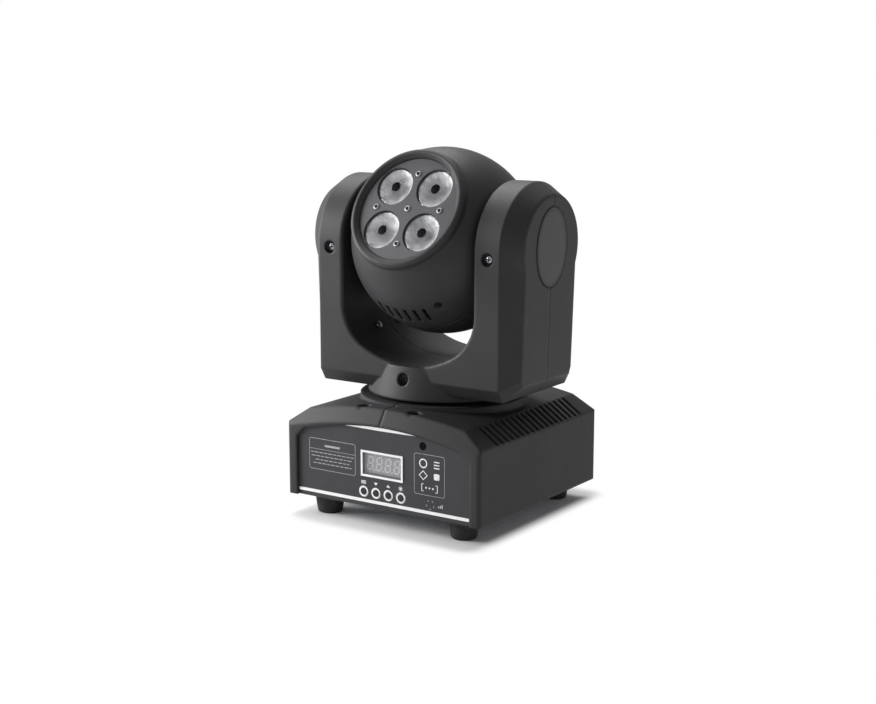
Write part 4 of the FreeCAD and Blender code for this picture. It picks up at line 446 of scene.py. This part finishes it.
# Fluted cup: its wall is a parabola z = -depth (1 - (r / R)^2), waved around by cos(flutes * angle)
def lensCup():
    radius, top = lamp["radius"] - cupSizes["inset"], -discSizes["depth"] - cupSizes["gap"]
    depth, foot = cupSizes["depth"], cupSizes["foot"]
    floor, wall = -depth - cupSizes["floor"], foot + cupSizes["wall"]
    bowl = [(r, top - (depth + top) * (1 - (r / radius) ** 2))
            for r in np.linspace(radius - cupSizes["rim"], foot, cupSizes["rings"])]
    profile = [(0, floor), (wall, floor), (radius, top)] + bowl + [(0, bowl[-1][1])]

    def flutes(r, a):
        fluted = (r < radius - cupSizes["plainRim"]) & (r > foot - cupSizes["plainFoot"]) & (r != wall)
        inside = np.where(fluted, 1.0, 0.0)
        return -cupSizes["fluteRise"] * (1 + np.cos(cupSizes["flutes"] * a)) * inside * (r / radius) ** 2
    return lathe(profile, cupSizes["columns"], flutes)


# Core of painted shade in the well: a near-black low button z = -well + rise (1 - (r / R)^2)
def lensCore():
    radius, rise, floor = coreSizes["radius"], coreSizes["rise"], -discSizes["wellDepth"] + coreSizes["gap"]
    edge = floor + coreSizes["edge"]
    button = [(r, edge + rise * (1 - (r / radius) ** 2))
              for r in np.linspace(radius, coreSizes["middle"], coreSizes["rings"])]
    return lathe([(0, floor), (radius, floor)] + button + [(0, edge + rise)], coreSizes["columns"])


for side, sideName in ((1, "front"), (-1, "rear")):
    outward, upward = headAxes(side)
    forms, wearing = [], []
    for across, up in signs:
        spot = headPlace(side, across * lamp["pitch"] / 2, lamp["front"], up * lamp["pitch"] / 2)
        for number, form in enumerate((lensDisc(), lensCup(), lensCore())):
            forms.append(stood(form, spot, (1, 0, 0), outward))
            wearing.append(number)
    lens = piece(sideName + "LampLenses", forms, "head",
                 ["clearAcrylic", "silveredCup", "irFilterAndPaintedCoreShade"], wearing)
    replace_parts(lens, "lenses_" + sideName)
print("lamp lenses ready")


# Screw heads: shares of the head's radius and height, and the shank in mm
screwLook = {"side": ((0.96, 0), (1, 0.12), (1, 0.42)), "domeShare": 0.45, "domeSpan": (0.94, 0.04),
             "domeRings": 15, "reachShare": 0.66, "widthShare": 0.2, "deepShare": 0.6,
             "softShares": (0.4, 0.25), "shadeShares": (0.3, 0.46), "shadeReach": 0.96, "shankRadius": 1.45,
             "tipShare": 0.7, "tipHeight": 0.7, "shankTop": 0.05, "headColumns": 56, "shankColumns": 20,
             "shadeColumns": 24}


# Pan head: a dome z = H - rise (r / R)^2, pressed in where either arm of a cross passes, or in a round socket
def panHead(radius, height, shank, socket):
    start, end = screwLook["domeSpan"]
    crown = [(r, height - screwLook["domeShare"] * height * (r / radius) ** 2)
             for r in np.linspace(radius * start, radius * end, screwLook["domeRings"])]
    flank = [(radius * share, height * level) for share, level in screwLook["side"]]
    reach, wide = radius * screwLook["reachShare"], radius * screwLook["widthShare"]
    softSide, softEnd = screwLook["softShares"]

    def cross(r, a):
        along = np.maximum(abs(r * np.cos(a)), abs(r * np.sin(a)))
        beside = np.minimum(abs(r * np.cos(a)), abs(r * np.sin(a)))
        sides = np.clip((wide - beside) / (softSide * wide), 0, 1)
        pressed = sides * np.clip((reach - along) / (softEnd * reach), 0, 1)
        if socket:
            pressed = np.where(r < reach, 1.0, 0.0)
        return -height * screwLook["deepShare"] * pressed
    head = lathe([(0, 0)] + flank + crown + [(0, height)], screwLook["headColumns"], cross)
    thick, top = screwLook["shankRadius"], screwLook["shankTop"]
    tip, shoulder = thick * screwLook["tipShare"], -shank + screwLook["tipHeight"]
    stem = lathe([(0, -shank), (tip, -shank), (thick, shoulder), (thick, top), (0, top)],
                 screwLook["shankColumns"])
    # Painted shade: a near-black disc under the dome, which shows where the cross or socket is pressed in
    low, high = (height * share for share in screwLook["shadeShares"])
    inner = reach * screwLook["shadeReach"]
    shade = lathe([(0, low), (inner, low), (inner, high), (0, high)], screwLook["shadeColumns"])
    return [head, stem, shade]


# Seats of the screws in mm; a size is the head's radius, its height and the shank's length
screwSeats = {
    "cover": {"x": 22, "y": 70.5, "z": 79, "size": (3.5, 2, 15), "kind": "black"},
    "tray": {"x": 60.2, "y": 63.7, "z": 7, "size": (2.8, 2, 8), "kind": "bright"},
    "arm": {"x": 69.1, "y": 45.9, "z": 197.3, "size": (2.8, 2, 16), "kind": "bright"},
    "turret": {"x": 0, "y": 50, "z": 105.6, "size": (3.5, 2, 10), "kind": "black"},
    "bore": {"x": 21.5, "y": 13.5, "z": 156.4, "radius": 36, "stand": 0.15, "angle": 35,
             "size": (2.8, 1.6, 4), "kind": "bright"},
    "face": {"pitch": 27.6, "out": 54, "size": (2.2, 1.2, 12), "kind": "socket"},
    "collar": {"across": 27.5, "out": 21.5, "up": -54, "size": (2.2, 1.2, 4), "kind": "black"},
}
screwMetals = ["zincPlatedSteel", "blackOxideAndPaintedShade", "dullZinc"]
metalOf = {"bright": 0, "black": 1, "socket": 2}


def seatPlace(seat, a, b):
    return np.array([a * screwSeats[seat]["x"], b * screwSeats[seat]["y"], screwSeats[seat]["z"]])


# Screws of one body, from place, direction out of the seat and name of the seat; crosses and sockets hold painted
# shade
def screwSet(name, body, node, spots):
    forms, wearing = [], []
    for place, out, seat in spots:
        kind = screwSeats[seat]["kind"]
        aside = (1, 0, 0) if abs(out[0]) < 0.7 else (0, 1, 0)  # any way that isn't along the screw
        parts = panHead(*screwSeats[seat]["size"], kind == "socket")
        forms += [stood(part, place, aside, out) for part in parts]
        # The third form of each screw is its disc of painted shade, which takes the black finish
        wearing += [metalOf[kind], metalOf[kind], metalOf["black"]]
    screws = piece(name, forms, body, screwMetals, wearing)
    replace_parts(screws, node)


spots = [(seatPlace("cover", a, b), (0, 0, 1), "cover") for a, b in signs]
spots += [(seatPlace("tray", a, b), (0, 0, -1), "tray") for a, b in signs]
screwSet("baseScrews", "base", "base_screws", spots)

spots = [(seatPlace("arm", a, b), (0, b, 0), "arm") for a, b in signs]
spots += [(seatPlace("turret", 0, b), (0, b, 0), "turret") for b in (-1, 1)]
bore, tilt = screwSeats["bore"], math.radians(screwSeats["bore"]["angle"])
for a, b in signs:
    away = np.array([a * math.cos(tilt), 0, -math.sin(tilt)])
    spots.append((seatPlace("bore", a, b) + away * (bore["radius"] - bore["stand"]), -away, "bore"))
screwSet("yokeScrews", "yoke", "yoke_screws", spots)

spots, face, collar = [], screwSeats["face"], screwSeats["collar"]
for side in (1, -1):
    outward, upward = headAxes(side)
    for across, up in ((0, 0), (1, 0), (-1, 0), (0, 1), (0, -1)):
        spot = headPlace(side, across * face["pitch"], face["out"], up * face["pitch"])
        spots.append((spot, outward, "face"))
    spots.append((headPlace(side, collar["across"], collar["out"], collar["up"]), -upward, "collar"))
screwSet("headScrews", "head", "head_screws", spots)
print("screws ready")


# Display, in mm: digits, their bars and points, and how far these sink into the block and stand out of it
digit = {"count": 4, "pitch": 7.9, "height": 10.6, "width": 5.4, "bar": 1.15, "lean": 0.14, "gap": 0.25,
         "centreX": 0, "centreZ": 46.9, "pointRadius": 0.65, "pointShift": 0.75, "sunk": 0.1, "proud": 0.12}


# Dot as an outline: points over most of a turn, which the last side closes
def dotOutline(x, z, radius, steps=20, turn=345):
    return arc((x, z), radius, 0, turn, steps)


# Bar of a digit: a strip with pointed ends, lying or standing, leaned with the digit
def digitBar(x, z, length, upright):
    half, wide = length / 2 - digit["gap"], digit["bar"] / 2
    outline = np.array([(-half, 0), (-half + wide, wide), (half - wide, wide), (half, 0), (half - wide, -wide),
                        (-half + wide, -wide)])
    if upright:
        outline = outline[:, ::-1]
    outline = outline + (x, z)
    outline[:, 0] += digit["lean"] * outline[:, 1]
    return outline + (0, digit["centreZ"])


def displayDigits():
    face = float(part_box("display_module")[0][1]) / mm
    back, front = face + digit["sunk"], face - digit["proud"]
    width, height = digit["width"] - digit["bar"], digit["height"] - digit["bar"]
    forms = []
    for number in range(digit["count"]):
        x = digit["centreX"] + (number - (digit["count"] - 1) / 2) * digit["pitch"]
        bars = [(x, z * height / 2, width, False) for z in (-1, 0, 1)]
        bars += [(x + a * width / 2, b * height / 4, height / 2, True) for a, b in signs]
        forms += [plate(digitBar(*bar), back, front) for bar in bars]
        point = (x + digit["width"] / 2 + digit["pointShift"], digit["centreZ"] - height / 2)
        forms.append(plate(dotOutline(*point, digit["pointRadius"]), back, front))
    return forms


piece("displayDigits", displayDigits(), "base", ["milkyResin"])


trim = {"half": 32, "shift": -0.6, "archRadius": 269, "archTop": 74.8, "sag": 0.35, "stripeHeight": 2.3,
        "stripeRound": 0.4, "steps": 41}


# Silver trim: a stripe, and a crescent whose upper edge z = top - (R - sqrt(R^2 - x^2)) follows the cover's
# arch and whose lower edge is the chord of its tips, let down by sag (1 - t^2)
def panelTrim():
    (left, front, low), (right, back, _) = [corner / mm for corner in map(np.array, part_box("panel_trim"))]
    along = np.linspace(-1, 1, trim["steps"])
    x = trim["shift"] + trim["half"] * along
    upper = trim["archTop"] - trim["archRadius"] + np.sqrt(trim["archRadius"] ** 2 - x ** 2)
    lower = upper[0] + (upper[-1] - upper[0]) * (along + 1) / 2 - trim["sag"] * (1 - along ** 2)
    crescent = np.vstack([np.stack([x, lower], axis=-1), np.stack([x, upper], axis=-1)[-2:0:-1]])
    stripe = roundedBox(left, right, low, low + trim["stripeHeight"], trim["stripeRound"])
    return [plate(stripe, back, front), plate(crescent, back, front)]


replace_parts(piece("panelTrim", panelTrim(), "base", ["silverFoil"]), "panel_trim")


# Print on the front panel, in mm: x, z, sizes and line widths; face is the panel's own y
ink = {"face": -80.3, "sunk": 0.02, "proud": 0.05, "line": 0.34, "corner": 1.6, "ringSteps": 48}
keys = {"count": 4, "left": -16.2, "pitch": 11, "z": 25.7, "ringRadius": 3.4, "ringLine": 1.35}
keyPlaces = [(keys["left"] + keys["pitch"] * number, keys["z"]) for number in range(keys["count"])]


def inked(form, *size, **more):
    return form(*size, ink["face"] + ink["sunk"], ink["face"] - ink["proud"], **more)


def bar(x, z, length, height):
    left, right, low, high = x - length / 2, x + length / 2, z - height / 2, z + height / 2
    return inked(plate, [(left, low), (right, low), (right, high), (left, high)])


def ring(x, z, radius, line):
    return inked(strip, arc((x, z), radius, 0, 360 - 360 / ink["ringSteps"], ink["ringSteps"]), line)


def frameLine(left, right, low, high):
    return inked(strip, roundedBox(left, right, low, high, ink["corner"]), ink["line"])


ruled = {"frame": (-66, -23.6, 36, 59.2), "heading": (-44.8, 54.4, 14, 1.5), "rule": (-44.8, 51.3, 41.7, 0.28),
         "rows": ((48.8, -64.5, -25.2), (46.1, -64, -26), (43.4, -60.5, -29), (40.7, -62.5, -27)),
         "height": 0.6, "gap": 0.9, "least": 1.2, "shortest": 2.2, "more": 1.7, "beat": (1.9, 2.3)}


# Lines of the left frame: a heading bar over rows of dashes; their lengths come from a sine, so no rows match
def ruledLines():
    forms = [bar(*ruled["heading"]), bar(*ruled["rule"])]
    along, down = ruled["beat"]
    for row, (z, left, right) in enumerate(ruled["rows"]):
        x, count = left, 0
        while x < right - ruled["least"]:
            wave = abs(math.sin(along * count + down * row))
            length = min(ruled["shortest"] + ruled["more"] * wave, right - x)
            forms.append(bar(x + length / 2, z, length, ruled["height"]))
            x += length + ruled["gap"]
            count += 1
    return forms


shapes = {"frame": (28.8, 54.6, 31.4, 60.9), "ring": (36.5, 54.2, 3.0, 0.9), "bars": (48, 4.6, 0.8),
          "barRows": (56.4, 54.2, 52), "diamond": (36.5, 45.6, 3.4, 3.2), "diamondLine": 0.8,
          "square": (45.6, 50.4, 43.4, 48, 1.0), "brackets": ((35.2, -1), (48.6, 1)),
          "bracketRows": (39.4, 34.2), "bracketArm": 1.6, "bracketLine": 0.6, "dots": (39, 41.9, 44.8),
          "dotRow": 36.8, "dotRadius": 0.7, "dotSteps": 18}


# Shapes of the right frame: a ring with bars, a diamond with a square, and a row of dots between two brackets
def plainShapes():
    x, length, height = shapes["bars"]
    forms = [ring(*shapes["ring"])] + [bar(x, z, length, height) for z in shapes["barRows"]]
    x, z, across, up = shapes["diamond"]
    tips = [(x, z - up), (x + across, z), (x, z + up), (x - across, z)]
    forms.append(inked(strip, tips, shapes["diamondLine"]))
    forms.append(inked(plate, roundedBox(*shapes["square"])))
    high, low = shapes["bracketRows"]
    for x, turn in shapes["brackets"]:
        tip = x - turn * shapes["bracketArm"]
        forms.append(inked(strip, [(tip, high), (x, high), (x, low), (tip, low)], shapes["bracketLine"],
                           closed=False))
    dots = [dotOutline(x, shapes["dotRow"], shapes["dotRadius"], shapes["dotSteps"]) for x in shapes["dots"]]
    return forms + [inked(plate, dot) for dot in dots]


marks = {"above": 6.9, "menuBar": (4.2, 0.5), "menuPitch": 0.9, "arrowHalf": 1.7, "arrowFoot": 0.9,
         "arrowTip": 1.1, "dotRadius": 0.75, "circle": (1.35, 0.35)}


# Rings round the keys, and marks over them: three bars, an arrow down, an arrow up and a round dot
def keyMarks():
    (menu, level), (down, _), (up, _), (enter, _) = keyPlaces
    z = level + marks["above"]
    half, foot, tip = marks["arrowHalf"], marks["arrowFoot"], marks["arrowTip"]
    forms = [ring(x, level, keys["ringRadius"], keys["ringLine"]) for x, _ in keyPlaces]
    forms += [bar(menu, z + lift * marks["menuPitch"], *marks["menuBar"]) for lift in (-1, 0, 1)]
    forms.append(inked(plate, [(down - half, z + foot), (down, z - tip), (down + half, z + foot)]))
    forms.append(inked(plate, [(up - half, z - foot), (up + half, z - foot), (up, z + tip)]))
    forms += [inked(plate, dotOutline(enter, z, marks["dotRadius"])), ring(enter, z, *marks["circle"])]
    return forms


sound = {"barX": 49.6, "barZ": 24.2, "barPitch": 1.5, "barRise": 0.35, "barWidth": 0.6, "barHeight": 1.2,
         "barGrowth": 0.7, "bars": 3, "centre": (42.4, 24.8), "radius": 3.2, "arcs": 5, "firstArc": 126,
         "halfArc": 14, "arcLine": 0.55, "arcSteps": 6}


# Sound mark: bars of growing height beside the holes, and short arcs round them
def soundBars():
    return [bar(sound["barX"] + sound["barPitch"] * step, sound["barZ"] + sound["barRise"] * step,
                sound["barWidth"], sound["barHeight"] + sound["barGrowth"] * step)
            for step in range(sound["bars"])]


def soundArcs():
    forms, half = [], sound["halfArc"]
    for number in range(sound["arcs"]):
        middle = sound["firstArc"] + 360 / sound["arcs"] * number
        path = arc(sound["centre"], sound["radius"], middle - half, middle + half, sound["arcSteps"])
        forms.append(inked(strip, path, sound["arcLine"], closed=False))
    return forms


bright = plainShapes() + keyMarks() + soundBars()
thin = [frameLine(*ruled["frame"])] + ruledLines() + soundArcs() + [frameLine(*shapes["frame"])]
piece("panelPrint", bright + thin, "base", ["screenInk", "thinInk"],
      [0] * len(bright) + [1] * len(thin))
print("front panel dressed")


capSizes = {"radius": 2.5, "edgeRound": 0.6, "edgeHeight": 0.2, "dish": 0.66, "dishRise": 0.12,
            "dishRings": (1.5, 1.0, 0.5), "collarRadius": 3.5, "collarLow": -3.7, "collarHigh": -2.8,
            "edgeTurn": (0, 80, 6), "columns": 40}


# Key cap: a dished top z = dish + rise (r / R)^2 with a rounded edge, and the collar that keeps it in its hole
def keyCap():
    inner = capSizes["radius"] - capSizes["edgeRound"]
    edge = arc((inner, capSizes["edgeHeight"]), capSizes["edgeRound"], *capSizes["edgeTurn"])
    dish = [(r, capSizes["dish"] + capSizes["dishRise"] * (r / inner) ** 2) for r in capSizes["dishRings"]]
    wide, low, high = capSizes["collarRadius"], capSizes["collarLow"], capSizes["collarHigh"]
    collar = [(0, low), (wide, low), (wide, high), (capSizes["radius"], high)]
    return lathe(collar + edge + dish + [(0, capSizes["dish"])], capSizes["columns"])


for number, (x, z) in enumerate(keyPlaces, 1):
    cap = piece(f"keyCap{number}", [stood(keyCap(), (x, ink["face"], z), (1, 0, 0), (0, -1, 0))],
                f"button_{number}", ["polishedNylon"])
    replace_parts(cap, f"button_{number}")


footSizes = {"height": 14.4, "lowRadius": 9.2, "flare": 2.2, "topRadius": 11.2, "sideSpan": (0.09, 0.96),
             "groove": 0.28, "grooveHeight": 10.5, "grooveWidth": 0.5, "round": 1.1, "wellRadius": 3.5,
             "wellDepth": 7, "wellRound": 0.3, "mouth": 0.5, "roundTurn": (270, 350, 6), "rings": 24, "columns": 64}


# Foot: a cone with a rounded lower edge, a shallow groove r - depth exp(-((z - height) / width)^2) and a well
def rubberFoot():
    height, rounding = footSizes["height"], footSizes["round"]
    share = np.linspace(*footSizes["sideSpan"], footSizes["rings"])
    dip = np.exp(-((share * height - footSizes["grooveHeight"]) / footSizes["grooveWidth"]) ** 2)
    radius = footSizes["lowRadius"] + footSizes["flare"] * share - footSizes["groove"] * dip
    side = np.stack([radius, height * share], axis=-1).tolist()
    lower = arc((footSizes["lowRadius"] - rounding, rounding), rounding, *footSizes["roundTurn"])
    well, deep = footSizes["wellRadius"], footSizes["wellDepth"]
    roof, mouth = footSizes["wellRound"], footSizes["mouth"]
    hole = [(0, deep), (well - roof, deep), (well, deep - roof), (well, mouth), (well + mouth, 0)]
    return lathe(hole + lower + side + [(footSizes["topRadius"], height), (0, height)], footSizes["columns"])


tray = screwSeats["tray"]
forms = [stood(rubberFoot(), (tray["x"] * a, tray["y"] * b, 0), (1, 0, 0), (0, 0, 1)) for a, b in signs]
feet = piece("rubberFeet", forms, "base", ["mouldedRubber"])
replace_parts(feet, "rubber_feet")


badge = {"x": 89, "footZ": 106.4, "z": 203, "lean": 1.9, "halfWidth": 21, "halfHeight": 29, "stands": 0.3,
         "bands": ((0.5, 0.9), (2.3, 0.3)), "bandDepths": (0.05, -0.04), "steps": 96}


# Rim of the side badge, painted shade of its groove: dark bands carried round the ellipse (a cos t, b sin t),
# each at its inset from the edge
def badgeRim(side):
    lean = math.radians(badge["lean"])
    outward = np.array([side * math.cos(lean), 0, -math.sin(lean)])
    upward = np.array([side * math.sin(lean), 0, math.cos(lean)])
    place = np.array([side * (badge["x"] + (badge["z"] - badge["footZ"]) * math.tan(lean)), 0, badge["z"]])
    turn = np.arange(badge["steps"]) * 2 * math.pi / badge["steps"]
    bands = []
    for inset, line in badge["bands"]:
        path = np.stack([(badge["halfWidth"] - inset) * np.cos(turn),
                         (badge["halfHeight"] - inset) * np.sin(turn)], axis=-1)
        band = strip(path, line, *badge["bandDepths"])
        bands.append(stood(band, place + outward * badge["stands"], (0, side, 0), upward))
    return bands


for side, sideName in ((1, "right"), (-1, "left")):
    # Painted shade: the rim's bands are near black
    piece(sideName + "BadgeRimShade", badgeRim(side), "yoke", ["blackOxideAndPaintedShade"])


# Rear sockets, in mm: three gold-flashed sleeves on a circle, and three tinned covers by their lower middles
pins = {"radius": 1.27, "shoulder": 7.6, "tipRound": 0.6, "tipHeight": 7.8, "length": 8.42, "x": 14, "z": 42,
        "circle": 5, "angles": (30, 150, 270), "y": 68.6, "tipTurn": (0, 80, 5), "columns": 24}
blades = {"places": ((-49, 38), (-35, 38), (-42, 42)), "half": 1.06, "below": 0.06, "above": 4.06,
          "corner": 0.5, "cornerSteps": 4, "back": 76.4, "front": 64.5}


# Contacts: a turned sleeve with a rounded tip, stood along y at each angle of the circle
def dataPins():
    radius, tip = pins["radius"], pins["tipRound"]
    rounded = arc((radius - tip, pins["tipHeight"]), tip, *pins["tipTurn"])
    sleeve = lathe([(0, 0), (radius, 0), (radius, pins["shoulder"])] + rounded + [(0, pins["length"])],
                   pins["columns"])
    return [stood(sleeve, (pins["x"] + pins["circle"] * math.cos(turn), pins["y"],
                           pins["z"] + pins["circle"] * math.sin(turn)), (1, 0, 0), (0, 1, 0))
            for turn in np.radians(pins["angles"])]


# Covers of the blades: upright plates with rounded corners
def inletBlades():
    half, below, above = blades["half"], blades["below"], blades["above"]
    outlines = [roundedBox(x - half, x + half, z - below, z + above, blades["corner"], blades["cornerSteps"])
                for x, z in blades["places"]]
    return [plate(outline, blades["back"], blades["front"]) for outline in outlines]


piece("dataPins", dataPins(), "base", ["goldFlash"])
piece("inletBlades", inletBlades(), "base", ["zincPlatedSteel"])
print("keys, feet, badges and contacts ready")


# Studio: a floor that turns white to the camera past the shadow at the base, a pale world and three soft lamps
studio = {"floorSize": 8.0, "floorTone": "#f2f2f2", "floorRough": 0.9, "footprint": (0.074, 0.0825),
          "shadowReach": (0.003, 0.02), "worldLevel": 0.15, "mirrorLevel": 0.5}
lights = {"key": {"spot": (-0.82, -0.42, 0.42), "size": 0.5, "power": 12.5},
          "top": {"spot": (-0.55, 0.4, 1.3), "size": 1.0, "power": 15},
          "side": {"spot": (1.9, -0.6, 0.8), "size": 1.0, "power": 1.2}}
view = {"focalPixels": 1571, "imageWidth": 876, "sensorMm": 36, "azimuth": 34.3, "elevation": 10.6,
        "distance": 1.184, "target": (-0.006, 0.0005, 0.117)}


# Share of the floor's white from 0 at the base to 1 past its shadow, by the distance outside the footprint
def pastShadow(tree):
    spread = add(tree, "TexCoord").outputs["Object"]
    for operation, other in (("ABSOLUTE", (0, 0, 0)), ("SUBTRACT", (*studio["footprint"], 0)),
                             ("MAXIMUM", (0, 0, 0))):
        spread = add(tree, "VectorMath", {0: spread, 1: other}, operation=operation).outputs[0]
    far = add(tree, "VectorMath", {0: spread}, operation="LENGTH").outputs["Value"]
    near, edge = studio["shadowReach"]
    return add(tree, "MapRange", {"Value": far, "From Min": near, "From Max": edge},
               interpolation_type="SMOOTHSTEP").outputs[0]


# The floor keeps the shadow, and away from it is white to camera, glossy and transmission rays
def buildFloor():
    material, tree, shader = blank("paperFloor")
    shader.inputs["Base Color"].default_value = linear(studio["floorTone"])
    shader.inputs["Roughness"].default_value = studio["floorRough"]
    path = add(tree, "LightPath").outputs
    seen = add(tree, "Math", {0: path["Is Camera Ray"], 1: path["Is Glossy Ray"]}, operation="MAXIMUM")
    seen = add(tree, "Math", {0: seen.outputs[0], 1: path["Is Transmission Ray"]}, operation="MAXIMUM")
    fade = add(tree, "Math", {0: seen.outputs[0], 1: pastShadow(tree)}, operation="MULTIPLY")
    white = add(tree, "Emission", {"Color": (1, 1, 1, 1), "Strength": 1.0})
    mixed = add(tree, "MixShader", {0: fade.outputs[0], 1: shader.outputs[0], 2: white.outputs[0]})
    output = next(node for node in tree.nodes if node.type == "OUTPUT_MATERIAL")
    tree.links.new(mixed.outputs[0], output.inputs["Surface"])
    half = studio["floorSize"] / 2
    corners = [(-half, -half, 0), (half, -half, 0), (half, half, 0), (-half, half, 0)]
    mesh = bpy.data.meshes.new("floor")
    mesh.from_pydata(corners, [], [(0, 1, 2, 3)])
    mesh.materials.append(material)
    floor = linked("floor", mesh)


# The world is white to camera and transmission rays, paler in reflections and dim as a light
def buildWorld():
    world = bpy.data.worlds.new("studioWorld")
    world.use_nodes = True
    bpy.context.scene.world = world
    tree = world.node_tree
    tree.nodes.clear()
    path = add(tree, "LightPath").outputs
    seen = add(tree, "Math", {0: path["Is Camera Ray"], 1: path["Is Transmission Ray"]}, operation="MAXIMUM")
    level = add(tree, "MapRange", {"Value": path["Is Glossy Ray"], "To Min": studio["worldLevel"],
                                   "To Max": studio["mirrorLevel"]})
    level = add(tree, "Math", {0: level.outputs[0], 1: seen.outputs[0]}, operation="MAXIMUM")
    sky = add(tree, "Background", {"Color": (1, 1, 1, 1), "Strength": level.outputs[0]})
    add(tree, "OutputWorld", {"Surface": sky.outputs[0]})


# Square area lamps, each turned from its spot towards the camera's target
def buildLights():
    for name, look in lights.items():
        light = bpy.data.lights.new(name + "Light", "AREA")
        light.energy = look["power"]
        light.size = look["size"]
        holder = linked(name + "Light", light)
        holder.location = look["spot"]
        away = np.array(look["spot"]) - np.array(view["target"])
        slope = math.acos(away[2] / np.linalg.norm(away))
        holder.rotation_euler = (slope, 0, math.atan2(away[1], away[0]) + math.pi / 2)


# The camera looks at the target from azimuth and elevation; its lens is sensor * focal pixels / image width
def buildCamera():
    turn, rise = math.radians(view["azimuth"]), math.radians(view["elevation"])
    back = np.array([math.sin(turn) * math.cos(rise), -math.cos(turn) * math.cos(rise), math.sin(rise)])
    lens = bpy.data.cameras.new("camera")
    lens.sensor_width = view["sensorMm"]
    lens.lens = view["sensorMm"] * view["focalPixels"] / view["imageWidth"]
    camera = linked("camera", lens)
    camera.location = np.array(view["target"]) + back * view["distance"]
    camera.rotation_euler = (math.pi / 2 - rise, 0, turn)
    bpy.context.scene.camera = camera


buildFloor()
buildWorld()
buildLights()
buildCamera()
bpy.context.scene.view_settings.view_transform = "Standard"
print("studio and camera ready")
